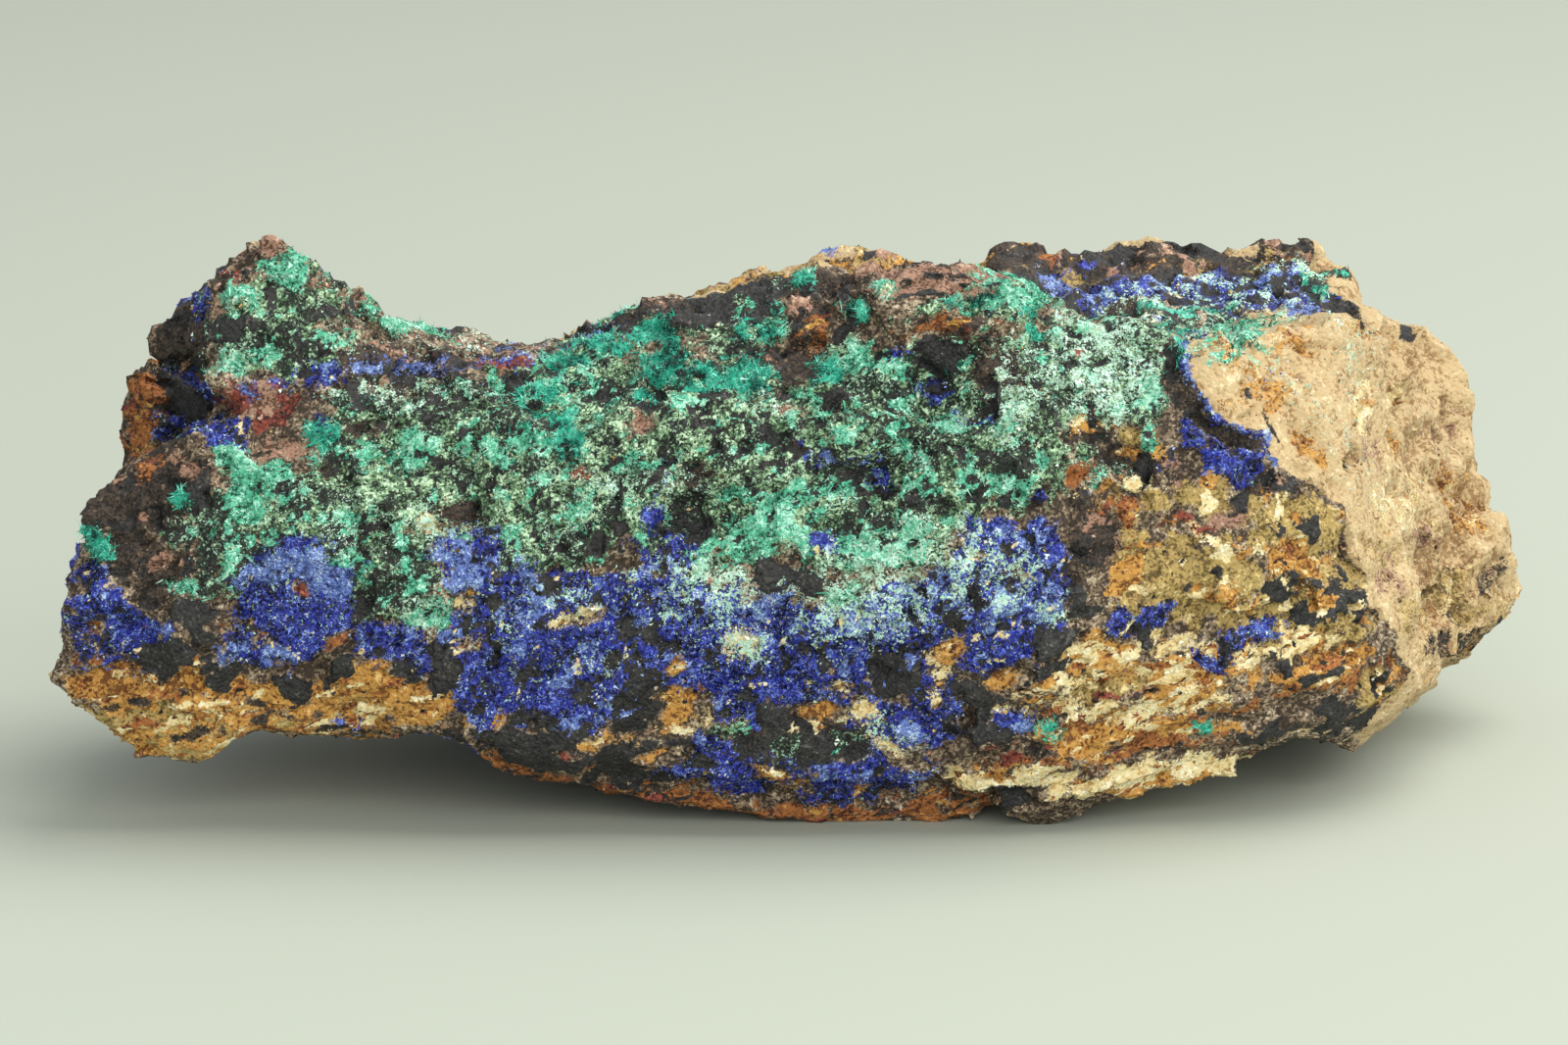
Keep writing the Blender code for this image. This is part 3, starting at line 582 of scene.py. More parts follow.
for turn, (name, oval) in enumerate(by_size(BACK_MAP)):
    weight = oval_weight(oval, name, edge_noises[turn % 4]) * seen_behind
    if name == "frost":
        minerals["frost"] = np.maximum(minerals["frost"], weight)
    else:
        lay(name, weight)

# %% The weathered end
weathered = np.clip((points[:, 0] - 48) / 10, 0, 1) * np.clip(normals[:, 0] * 3 - 0.4, 0, 1)
weathered = np.clip(weathered * 2 + edge_noises[2] * 0.5 - 0.4, 0, 1) * (1 - open_end) * (points[:, 1] > -24)
lay("tan", weathered)
FROST_COVER = 0.5            # frost never closes over: it stays flecks on the crust below it
minerals["frost"] *= FROST_COVER * (1 - weathered)

# %% [markdown]
# ## Inclusions
# No crust is pure. Each host mineral below holds patches of a few others, each with its share
# and its width in millimetres. The black ones are open pores, so they are also set back.

# %% Include the small patches
INCLUSIONS = {
    "sage": [("mint", 0.16, 3.6), ("speckled", 0.22, 3.2), ("goethite", 0.12, 2.0)],
    "mint": [("sage", 0.16, 3.0), ("goethite", 0.07, 1.6)],
    "teal": [("sage", 0.10, 2.6), ("goethite", 0.06, 1.6)],
    "speckled": [("mint", 0.14, 1.8), ("sage", 0.16, 2.6)],
    "azurite": [("powder", 0.14, 2.6), ("goethite", 0.20, 1.9), ("clay", 0.03, 1.6)],
    "powder": [("azurite", 0.25, 2.4), ("goethite", 0.06, 1.6)],
    "olive": [("clay", 0.14, 3.6), ("limonite", 0.18, 4.4), ("goethite", 0.03, 1.2)],
    "limonite": [("clay", 0.15, 3.6), ("rust", 0.12, 3.2), ("goethite", 0.03, 1.4)],
    "clay": [("limonite", 0.20, 3.2), ("rust", 0.05, 2.0)],
    "rust": [("limonite", 0.14, 3.2), ("brown", 0.18, 3.6), ("hematite", 0.08, 3.0)],
    "brown": [("pink", 0.06, 3.4), ("goethite", 0.26, 3.2)],
    "pink": [("brown", 0.16, 3.0)],
    "hematite": [("brown", 0.3, 2.6), ("pink", 0.1, 2.4)],
}
BEDDED = ("limonite", "clay", "rust", "pink")
BED_DIP = math.radians(15)


def laid(place, dip, flatness):
    """Coordinates of a place among beds that dip to the left, with the beds drawn out flat."""
    across = (place.z * math.cos(dip) - place.x * math.sin(dip)) * flatness
    return Vector((place.x * math.cos(dip) + place.z * math.sin(dip), place.y, across))


pores = np.zeros(len(points))
hosts = {name: weight.copy() for name, weight in minerals.items()}
for turn, (host, guests) in enumerate(INCLUSIONS.items()):
    there = np.flatnonzero(hosts[host] > 0.3)
    places = points[there]
    if host in BEDDED:
        places = np.array([laid(Vector(p), BED_DIP, 2.6) for p in places])
    for step, (guest, share, size) in enumerate(guests):
        weight = np.zeros(len(points))
        weight[there] = noise_weight(places, share, size, turn * 5 + step) * hosts[host][there]
        weight *= 1 - in_rosette * ROSETTE_PURITY
        lay(guest, weight)
        if guest == "goethite":
            pores = np.maximum(pores, weight)
        minerals["frost"] *= 1 - weight * (guest == "goethite")

# %% What shows at each point
def seen_from_above(weights):
    """The share of each mineral that shows, once those painted over it have covered it."""
    shown, left = {}, np.ones(len(points))
    for name in reversed(PAINT_ORDER):
        shown[name] = left * np.clip(weights[name] * 2 - 0.5, 0, 1)
        left = left - shown[name]
    return shown


shown = seen_from_above(minerals)
for name, weight in shown.items():
    print(f"{name}: {np.mean(weight):.1%} of the skin")

# %% [markdown]
# ## Relief
# Each mineral weathers in its own way, and that is what makes one patch read against the
# next. The crusts are drusy: small vugs with sharp rims, over a skin of tiny lumps. Goethite
# is smooth and rounded. The beds break in thin plates. The tan end is sandy, almost flat,
# with a few holes and fine scratches. Displace modifiers could do each of these, but one
# function of place is shorter here, and it can leave a record of its height for the material.

# %% Shapes that the reliefs are made of
def lumps(place, size):
    """Rounded lumps side by side, as high as 1 in their middles."""
    near = noise.voronoi(place / size)[0][0]
    return 1 - 2 * near * near


def vugs(place, size, share):
    """Small open pits with sharp rims: 0 outside, -1 on their floor."""
    distances, seeds = noise.voronoi(place / size)
    if noise.cell(seeds[0] * 9.0) > share:
        return 0.0
    width = 0.25 + 0.25 * noise.cell(seeds[0] * 5.0)
    return -min(1.0, max(0.0, (width - distances[0]) * 7))


def flakes(place, size, slope, step):
    """Broken facets: each is flat, with a lean of its own and a level of its own."""
    scaled = place / size + noise.noise_vector(place / size * 3) * 0.12
    seed = noise.voronoi(scaled)[1][0]
    lean = noise.cell_vector(seed * 9.0) * 2.0 - Vector((1, 1, 1))
    return (scaled - seed).dot(lean) * size * slope + (noise.cell(seed * 5.0) - 0.5) * step


# %% Relief of each kind of surface
def druse_relief(place):
    relief = noise.fractal(place / 4.2, 0.9, 2.0, 4) * 0.35 + flakes(place, 4.2, 0.13, 0.34)
    relief += vugs(place, 3.2, 0.45) * 0.7 + vugs(place + Vector((9, 4, 2)), 1.7, 0.45) * 0.45
    return relief + lumps(place, 1.1) * 0.1 + noise.noise(place / 0.6) * 0.1


def nodule_relief(place):
    return lumps(place, 2.2) * 0.26 + lumps(place, 0.9) * 0.08 + noise.fractal(place / 1.4, 0.8, 2.0, 3) * 0.12


def bed_relief(place):
    beds = laid(place, BED_DIP, 2.8)
    relief = flakes(beds, 9.0, 0.12, 0.5) + flakes(beds, 3.4, 0.14, 0.26)
    return relief + noise.fractal(place / 1.6, 0.8, 2.0, 3) * 0.08


def sandy_relief(place):
    streaks = Vector((place.x + place.z, place.y, (place.z - place.x) * 0.2))
    relief = noise.fractal(place / 8, 1.0, 2.0, 4) * 0.4 + vugs(place, 5.5, 0.14) * 0.5
    return relief + noise.fractal(streaks / 1.6, 0.7, 2.0, 3) * 0.16 + vugs(place, 1.5, 0.16) * 0.4


def matrix_relief(place):
    relief = flakes(place, 6.0, 0.16, 0.6) + flakes(place, 2.4, 0.2, 0.25)
    return relief + vugs(place, 4.2, 0.2) * 0.4 + noise.fractal(place / 1.5, 0.8, 2.0, 3) * 0.12


# %% Which relief applies where
broad = seen_from_above(hosts)         # before the inclusions, which are too small to matter
crust = sum(broad[name] for name in ("sage", "speckled", "mint", "teal", "azurite", "powder", "frost"))
shares = {
    nodule_relief: broad["goethite"],
    druse_relief: crust,
    bed_relief: sum(broad[name] for name in ("limonite", "clay", "rust", "pink")),
    sandy_relief: broad["tan"],
    matrix_relief: np.ones(len(points)),
}


def blended_relief(place, index):
    """Relief of the minerals at a point, each as much as it shows there."""
    left, relief = 1.0, 0.0
    for kind, weight in shares.items():
        part = left * weight[index]
        if part > 0.02:
            relief += part * kind(place)
            left -= part
    return relief


UNDERSIDE_EASE = 0.45         # the underside is worn: its relief is this much of the rest
relief = np.array([blended_relief(Vector(p), i) for i, p in enumerate(points)])
facing_down = np.clip(-normals[:, 2] * 2 - 0.2, 0, 1)
relief *= 1 - facing_down * (1 - UNDERSIDE_EASE)
BROAD_SIZE, BROAD_HEIGHT = 8.0, 1.3     # mm, the slow lumps and dips of the sides behind
past_ridge = np.clip(points[:, 1] / 6 - 1, 0, 1) * (1 - facing_down)
relief += noise_field(points, BROAD_SIZE, 31, 3) * BROAD_HEIGHT * past_ridge
print("relief, mm:", round(relief.min(), 2), "to", round(relief.max(), 2))

# %% [markdown]
# Two more heights are added. A crust has a thickness of its own, so it ends in a small step.
# And the larger hollows of the front are placed one by one, as ovals with a depth.

# %% Thickness of the crusts, and the larger hollows
CRUST_THICKNESS = 0.35
HOLLOWS = [
    (-13.2, 14.4, 1.3, 1.3, 0, 1.6), (16.2, 16.8, 2.6, 2.0, 0, 0.7), (6.2, 4.3, 4.6, 1.5, -6, 0.6),
    (-1.4, 8.7, 1.7, 1.5, 0, 1.0), (4.8, 12.2, 1.4, 1.6, 0, 1.2), (-11.4, 7.3, 0.8, 1.3, 0, 1.0),
    (-62, 13.4, 2.2, 3.8, 0, 1.8), (-19.7, -1.3, 1.4, 1.8, 0, 0.8), (-9.8, 0.8, 1.8, 2.2, 0, 0.6),
    (22.5, 5.3, 0.8, 1.0, 0, 0.8), (57.8, 7.1, 0.6, 1.0, 0, 1.6), (-27.6, 14.8, 4.4, 0.7, 26, 0.9),
    (-42.4, -8.0, 0.7, 3.4, -12, 0.7), (60.8, -16.3, 0.8, 0.8, 0, 1.3), (-30.2, -1.5, 1.2, 1.2, 0, 0.5),
    (-26, -15.4, 1.4, 1.3, 0, 0.6), (5.7, 19.6, 0.7, 2.0, 0, 0.8), (20.6, 12.8, 1.4, 1.4, 0, 0.9),
    (-36, -23.4, 6, 0.8, 0, 1.2), (29.6, -4, 0.8, 5, 0, 0.8), (17, -24, 0.7, 4, 0, 0.8),
    (23.2, -28, 2.4, 1.0, 0, 1.4), (-63, -6.2, 3, 0.6, 10, 0.7), (-0.3, 14.6, 3, 0.6, -5, 0.6),
    (68.5, -2, 2.2, 1.6, 20, 1.0), (70.5, 3.4, 1.4, 2.2, 0, 0.9), (66.4, 8.6, 1.6, 2.2, -20, 0.8),
    (67.6, -9, 3, 2, 30, 1.0), (63.6, 14.6, 1.4, 2.4, -15, 0.8), (72.6, -6, 1.4, 2, 0, 0.8),
]
PORE_DEPTH = 0.4
# The open end folds along this line, from low to high, and is set back beyond it.
FOLD = [(67.5, -19), (66.5, -15.7), (64.6, -6), (64, -2.7), (63, 5.3), (61, 14), (59.5, 22.3), (59, 26)]
FOLD_DEPTH = 1.3
fold_across, fold_upward = np.array(FOLD).T
RING_HEIGHT = 0.14
relief += crust * CRUST_THICKNESS - pores * PORE_DEPTH
for turn, (*oval, depth) in enumerate(HOLLOWS):
    relief -= depth * oval_weight(oval, "goethite", edge_noises[turn % 4]) * on_front
relief += rings * RING_HEIGHT
past_fold = drawn[:, 0] - np.interp(drawn[:, 1], fold_upward, fold_across)
relief -= FOLD_DEPTH * np.clip(past_fold, 0, 1) * np.clip(1.3 - past_fold / 10, 0, 1) * open_end
carved = points + normals * relief[:, None]
SEAT_KEEP = 0.2              # the worn seat, and what is this near to it, is left as it is
on_seat = points[:, 2] < SEAT_KEEP
carved[on_seat] = points[on_seat]
carved[:, 2] = np.maximum(carved[:, 2], 0.0)
rock.data.vertices.foreach_set("co", (carved * MM).astype(np.float32).ravel())
rock.data.update()
print("carved, mm:", round(relief.min(), 2), "to", round(relief.max(), 2))

# %% Leave the map and the relief on the mesh
def leave_on_mesh(mesh, name, values):
    layer = mesh.attributes.new(name, "FLOAT", "POINT")
    layer.data.foreach_set("value", values.astype(np.float32))


for name, weight in minerals.items():
    leave_on_mesh(rock.data, name, weight)
# The relief also goes to the material, which paints shade into its low spots and highlight onto its high spots.
leave_on_mesh(rock.data, "relief", relief)
SHARP_ANGLE = 38
only(rock)
bpy.ops.object.shade_smooth_by_angle(angle=math.radians(SHARP_ANGLE))

# %% [markdown]
# ## Materials: shared effects first
# Three effects serve every mineral, so each is a node group. One turns a soft weight into a
# ragged mask, because two crusts meet grain by grain. One mixes three colours grain by grain,
# because no patch of a mineral is one colour; from the relief it also paints shade into the low
# spots and highlight onto the high spots. One gives the height of the grains for bump.
# The groups read Object coordinates, in millimetres, so the grain has its real size.

# %% A short way to write nodes
def put(tree, kind, sockets=None, **settings):
    """A new node, with its settings, and its sockets set or linked by name or number."""
    node = tree.nodes.new(kind)
    for name, value in settings.items():
        setattr(node, name, value)
    for key, value in (sockets or {}).items():
        if isinstance(value, bpy.types.NodeSocket):
            tree.links.new(value, node.inputs[key])
        else:
            node.inputs[key].default_value = value
    return node


def calc(tree, operation, first, second=0.0):
    return put(tree, "ShaderNodeMath", {0: first, 1: second}, operation=operation).outputs[0]


def blend(tree, mask, under, over):
    """The colour under where the mask is 0, and the colour over where it is 1."""
    return put(tree, "ShaderNodeMix", {0: mask, 6: under, 7: over}, data_type="RGBA").outputs[2]


def ramp(tree, value, low, high):
    """0 below low, 1 above high."""
    return put(tree, "ShaderNodeMapRange", {0: value, 1: low, 2: high}, clamp=True).outputs[0]


def millimetres(tree):
    """Object coordinates in millimetres."""
    place = put(tree, "ShaderNodeTexCoord").outputs["Object"]
    node = put(tree, "ShaderNodeVectorMath", {0: place, "Scale": 1 / MM}, operation="SCALE")
    return node.outputs[0]


def soft_noise(tree, place, size, detail=3.0, rough=0.6):
    sockets = {"Vector": place, "Scale": size, "Detail": detail, "Roughness": rough}
    return put(tree, "ShaderNodeTexNoise", sockets).outputs["Fac"]


def new_group(name, inputs, outputs):
    """An empty node group with those sockets: (name, type, default) in, (name, type) out."""
    group = bpy.data.node_groups.new(name, "ShaderNodeTree")
    for label, kind, default in inputs:
        socket = group.interface.new_socket(label, in_out="INPUT", socket_type=kind)
        socket.default_value = default
    for label, kind in outputs:
        group.interface.new_socket(label, in_out="OUTPUT", socket_type=kind)
    return group, put(group, "NodeGroupInput").outputs, put(group, "NodeGroupOutput").inputs


def use_group(tree, group, **sockets):
    named = {key.replace("_", " "): value for key, value in sockets.items()}
    return put(tree, "ShaderNodeGroup", named, node_tree=group)


# %% Ragged mask
NUMBER, COLOUR = "NodeSocketFloat", "NodeSocketColor"
WHITE, BLACK = (1, 1, 1, 1), (0, 0, 0, 1)
ragged_edge, given, out = new_group(
    "ragged_edge",
    [("Weight", NUMBER, 0), ("Reach", NUMBER, 0.6), ("Shift", NUMBER, 0)],
    [("Mask", NUMBER)],
)
group_place = millimetres(ragged_edge)
group_place = put(ragged_edge, "ShaderNodeVectorMath", {0: group_place, 1: given["Shift"]}).outputs[0]
coarse = soft_noise(ragged_edge, group_place, 0.7, 6.0, 0.74)
fine = soft_noise(ragged_edge, group_place, 3.4, 2.0, 0.7)
stir = calc(ragged_edge, "ADD", coarse, calc(ragged_edge, "MULTIPLY", fine, 0.8))
stir = calc(ragged_edge, "MULTIPLY", calc(ragged_edge, "SUBTRACT", stir, 0.9), given["Reach"])
stir = calc(ragged_edge, "MULTIPLY", stir, ramp(ragged_edge, given["Weight"], 0.0, 0.3))
stir = calc(ragged_edge, "ADD", stir, given["Weight"])
ragged_edge.links.new(ramp(ragged_edge, stir, 0.45, 0.55), out["Mask"])

# %% Grains of three colours
grain_mix, given, out = new_group(
    "grain_mix",
    [
        ("Dark", COLOUR, BLACK), ("Middle", COLOUR, (0.5, 0.5, 0.5, 1)), ("Light", COLOUR, WHITE),
        ("Grain", NUMBER, 2.0), ("Dark share", NUMBER, 0.35), ("Light share", NUMBER, 0.3),
        ("Relief", NUMBER, 0.0),
    ],
    [("Colour", COLOUR)],
)
group_place = millimetres(grain_mix)
patch = soft_noise(grain_mix, group_place, calc(grain_mix, "MULTIPLY", given["Grain"], 0.32), 6.0, 0.78)
# The relief shifts the tone: low spots turn darker and high spots lighter. This is painted shade in the pits and
# painted highlight on the rims.
patch = calc(grain_mix, "ADD", patch, calc(grain_mix, "MULTIPLY", given["Relief"], 0.06))
cell_size = calc(grain_mix, "MULTIPLY", given["Grain"], 1.6)
cells = put(grain_mix, "ShaderNodeTexVoronoi", {"Vector": group_place, "Scale": cell_size})
lucky = put(grain_mix, "ShaderNodeSeparateColor", {0: cells.outputs["Color"]}).outputs[0]
lucky = calc(grain_mix, "MULTIPLY", calc(grain_mix, "SUBTRACT", lucky, 0.5), 0.26)
tone = calc(grain_mix, "ADD", patch, lucky)
dark_edge = calc(grain_mix, "ADD", calc(grain_mix, "MULTIPLY", given["Dark share"], 0.5), 0.26)
light_edge = calc(grain_mix, "SUBTRACT", 0.8, calc(grain_mix, "MULTIPLY", given["Light share"], 0.5))
above_dark = ramp(grain_mix, calc(grain_mix, "SUBTRACT", tone, dark_edge), -0.05, 0.05)
above_light = ramp(grain_mix, calc(grain_mix, "SUBTRACT", tone, light_edge), -0.02, 0.08)
colour = blend(grain_mix, above_dark, given["Dark"], given["Middle"])
colour = blend(grain_mix, above_light, colour, given["Light"])
grain_mix.links.new(colour, out["Colour"])

# %% Height of the grains
grain_height, given, out = new_group("grain_height", [("Grain", NUMBER, 2.0)], [("Height", NUMBER)])
group_place = millimetres(grain_height)
cells = put(grain_height, "ShaderNodeTexVoronoi", {"Vector": group_place, "Scale": given["Grain"]})
rise = calc(grain_height, "SUBTRACT", 1.0, cells.outputs["Distance"])
rise = calc(grain_height, "ADD", rise, soft_noise(grain_height, group_place, 1.3, 6.0, 0.78))
grain_height.links.new(rise, out["Height"])

# %% [markdown]
# ## The rock's material
# Paint is built up the way the minerals were: rock first, then the iron minerals, then
# malachite, then azurite, then the late goethite. Each layer is a grain mix of its own
# three colours, laid over the one below through its ragged mask.

# %% Colours of each mineral
# name: (dark, middle, light, grains per mm, dark share, light share, reach of its ragged edge, roughness)
LAYERS = {
    "tan": ((0.28, 0.17, 0.075), (0.50, 0.37, 0.195), (0.66, 0.55, 0.34), 1.5, 0.24, 0.36, 0.3, 0.92),
    "brown": ((0.010, 0.008, 0.006), (0.056, 0.038, 0.026), (0.19, 0.138, 0.085), 2.4, 0.42, 0.26, 0.9, 0.75),
    "limonite": ((0.15, 0.056, 0.012), (0.50, 0.255, 0.055), (0.73, 0.50, 0.20), 1.8, 0.34, 0.34, 0.9, 0.85),
    "olive": ((0.12, 0.08, 0.025), (0.39, 0.275, 0.09), (0.64, 0.50, 0.24), 2.2, 0.32, 0.36, 0.9, 0.85),
    "clay": ((0.46, 0.30, 0.10), (0.72, 0.60, 0.31), (0.86, 0.83, 0.61), 2.0, 0.2, 0.45, 0.9, 0.9),
    "pink": ((0.09, 0.045, 0.028), (0.34, 0.195, 0.13), (0.58, 0.42, 0.31), 2.4, 0.3, 0.36, 0.9, 0.85),
    "rust": ((0.07, 0.02, 0.006), (0.32, 0.115, 0.03), (0.58, 0.28, 0.09), 1.8, 0.34, 0.34, 0.9, 0.85),
    "hematite": ((0.055, 0.012, 0.009), (0.24, 0.055, 0.034), (0.52, 0.20, 0.13), 1.9, 0.34, 0.32, 0.9, 0.8),
    "sage": ((0.008, 0.013, 0.007), (0.13, 0.25, 0.12), (0.54, 0.74, 0.49), 2.4, 0.46, 0.44, 1.2, 0.7),
    "speckled": ((0.006, 0.008, 0.006), (0.022, 0.030, 0.018), (0.36, 0.60, 0.40), 2.8, 0.5, 0.36, 1.2, 0.7),
    "mint": ((0.008, 0.06, 0.035), (0.09, 0.46, 0.28), (0.50, 0.86, 0.68), 2.6, 0.28, 0.44, 1.4, 0.65),
    "teal": ((0.004, 0.06, 0.045), (0.028, 0.44, 0.29), (0.18, 0.74, 0.54), 3.0, 0.32, 0.36, 1.0, 0.5),
    "azurite": ((0.004, 0.006, 0.030), (0.022, 0.034, 0.34), (0.16, 0.24, 0.72), 2.8, 0.48, 0.32, 1.2, 0.42),
    "powder": ((0.018, 0.028, 0.12), (0.11, 0.18, 0.47), (0.42, 0.55, 0.80), 3.2, 0.34, 0.4, 1.4, 0.55),
    "frost": ((0.34, 0.42, 0.24), (0.40, 0.68, 0.53), (0.78, 0.91, 0.78), 2.8, 0.26, 0.44, 3.4, 0.6),
    "goethite": ((0.005, 0.005, 0.005), (0.022, 0.021, 0.020), (0.11, 0.10, 0.088), 2.4, 0.36, 0.30, 0.7, 0.6),
}
ROCK_LAYER = ((0.04, 0.027, 0.018), (0.22, 0.16, 0.10), (0.56, 0.47, 0.34), 2.2, 0.45, 0.4)


def opaque(colour):
    return (*colour, 1.0)


def mixed_grains(tree, dark, middle, light, grain, dark_share, light_share, relief):
    node = use_group(
        tree, grain_mix, Dark=opaque(dark), Middle=opaque(middle), Light=opaque(light), Grain=grain,
        Dark_share=dark_share, Light_share=light_share, Relief=relief,
    )
    return node.outputs["Colour"]


def attribute(tree, name):
    return put(tree, "ShaderNodeAttribute", attribute_name=name).outputs["Fac"]


# %% Build the rock's material
def new_material(name):
    material = bpy.data.materials.new(name)
    material.use_nodes = True
    return material, material.node_tree, material.node_tree.nodes["Principled BSDF"]


ore, tree, shader = new_material("copper_ore_rock")
# The relief attribute reaches every grain mix below, where it paints shade into the pits and highlight onto the high
# spots.
relief_for_painted_shade = attribute(tree, "relief")
colour = mixed_grains(tree, *ROCK_LAYER, relief_for_painted_shade)
rough = 0.85
for shift, name in enumerate(PAINT_ORDER):
    *grains, reach, roughness = LAYERS[name]
    edge = use_group(tree, ragged_edge, Weight=attribute(tree, name), Reach=reach, Shift=shift * 13.7)
    mask = edge.outputs["Mask"]
    colour = blend(tree, mask, colour, mixed_grains(tree, *grains, relief_for_painted_shade))
    drop = put(tree, "ShaderNodeMix", {0: mask, 2: rough, 3: roughness}, data_type="FLOAT")
    rough = drop.outputs[0]
height = use_group(tree, grain_height, Grain=2.4).outputs["Height"]
bump = put(tree, "ShaderNodeBump", {"Strength": 0.6, "Distance": 0.35 * MM, "Height": height})
tree.links.new(colour, shader.inputs["Base Color"])
tree.links.new(rough, shader.inputs["Roughness"])
tree.links.new(bump.outputs[0], shader.inputs["Normal"])
shader.inputs["Specular IOR Level"].default_value = 0.4
rock.data.materials.append(ore)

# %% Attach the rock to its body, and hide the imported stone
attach(rock, BODY)
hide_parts(NODE)

# %% [markdown]
# ## Crystals
# Seen close, the crusts are not paint. They are thousands of crystals, most of them shorter
# than half a millimetre: shards of azurite, grains and silky needles of malachite, pale flecks
# over both, and crumbs of the rock. Each kind is modelled once, as a shape of a few faces,
# and copied to many places in one joined mesh. Geometry Nodes could scatter them too. Arrays
# of numbers are used here, because the same lines then choose places, sizes and colours.

# %% Model one crystal of each kind
def start_crystal(name, add, **settings):
    bpy.ops.object.select_all(action="DESELECT")
    add(**settings)
    bpy.context.object.name = name
    bpy.ops.object.mode_set(mode="EDIT")
    bpy.ops.mesh.select_all(action="SELECT")


def taken_shape():
    """The shape being edited as corner places and faces, with its object cleared away."""
    bpy.ops.object.mode_set(mode="OBJECT")
    obj = bpy.context.object
    corners = values_of(obj.data.vertices, "co", 3).astype(float)
    faces = [tuple(face.vertices) for face in obj.data.polygons]
    bpy.data.meshes.remove(obj.data)
    return corners, faces


start_crystal("shard", bpy.ops.mesh.primitive_cone_add, vertices=3, radius1=0.5, radius2=0, depth=1.0)
bpy.ops.transform.resize(value=(1.0, 0.6, 1.0))
bpy.ops.transform.translate(value=(0, 0, 0.2))
shard = taken_shape()

start_crystal("needle", bpy.ops.mesh.primitive_cone_add, vertices=3, radius1=0.1, radius2=0, depth=1.0)
bpy.ops.transform.translate(value=(0, 0, 0.3))
needle = taken_shape()

start_crystal("grain", bpy.ops.mesh.primitive_cone_add, vertices=3, radius1=0.5, radius2=0, depth=0.8)
bpy.ops.transform.vertex_random(offset=0.12, uniform=1.0, seed=2)
grain = taken_shape()

start_crystal("crumb", bpy.ops.mesh.primitive_cone_add, vertices=4, radius1=0.5, radius2=0.25, depth=0.6)
bpy.ops.transform.vertex_random(offset=0.15, uniform=1.0, seed=9)
crumb = taken_shape()
print("faces of each:", [len(shape[1]) for shape in (shard, needle, grain, crumb)])

# %% Choose places on the rock
rock.data.calc_loop_triangles()
corner_ids = np.zeros(len(rock.data.loop_triangles) * 3, np.int32)
rock.data.loop_triangles.foreach_get("vertices", corner_ids)
corner_ids = corner_ids.reshape(-1, 3)
corners = carved[corner_ids]
face_turns = np.cross(corners[:, 1] - corners[:, 0], corners[:, 2] - corners[:, 0])
face_areas = np.linalg.norm(face_turns, axis=1) / 2
face_normals = face_turns / np.maximum(face_areas * 2, 1e-9)[:, None]
FRONT_SHARE = 5.0            # crystals are this much denser on the front than elsewhere
FLOOR_CLEARANCE = 0.8        # no crystal grows where the stone all but touches the table
crowding = np.where(on_front & (normals[:, 1] < 0.1), FRONT_SHARE, 1.0)
crowding *= carved[:, 2] > FLOOR_CLEARANCE


def spread(weights, count, rng):
    """That many random places, as dense as the weights of the rock's points."""
    chance = face_areas * (weights * crowding)[corner_ids].mean(axis=1)
    chosen = rng.choice(len(chance), count, p=chance / chance.sum())
    split = rng.random((count, 2))
    split = np.where(split.sum(axis=1, keepdims=True) > 1, 1 - split, split)
    first, second, third = (corners[chosen, i] for i in range(3))
    places = first + (second - first) * split[:, :1] + (third - first) * split[:, 1:]
    return places, face_normals[chosen], corner_ids[chosen, 0]


# %% Grow one kind of crystal at many places
def unit(vectors):
    return vectors / np.maximum(np.linalg.norm(vectors, axis=1, keepdims=True), 1e-9)


def grow(name, shape, places, outward, sizes, lean, rng):
    """One joined mesh with a copy of the shape at each place, leaning and turned at random."""
    shape_corners, shape_faces = shape
    up = unit(outward + unit(rng.normal(size=places.shape)) * lean)
    side = unit(np.cross(up, rng.normal(size=places.shape)))
    other = np.cross(up, side)
    stretch = rng.uniform(0.6, 1.4, places.shape)
    scaled = shape_corners[None] * (sizes[:, None] * stretch)[:, None]
    grown = scaled[:, :, :1] * side[:, None] + scaled[:, :, 1:2] * other[:, None]
    grown += scaled[:, :, 2:] * up[:, None] + places[:, None]
    grown[:, :, 2] = np.maximum(grown[:, :, 2], 0.05)
    step = len(shape_corners)
    faces = [tuple(k * step + i for i in face) for k in range(len(places)) for face in shape_faces]
    mesh = bpy.data.meshes.new(name)
    mesh.from_pydata((grown.reshape(-1, 3) * MM).tolist(), [], faces)
    piece = bpy.data.objects.new(name, mesh)
    bpy.context.scene.collection.objects.link(piece)
    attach(piece, BODY)
    print(f"{name}: {len(places)} grown, {len(faces)} faces")
    return piece


# %% Colour every crystal after the mineral it grows on
CLUMP = 2.4                  # mm, how wide the widest cluster of crystals of like tone is


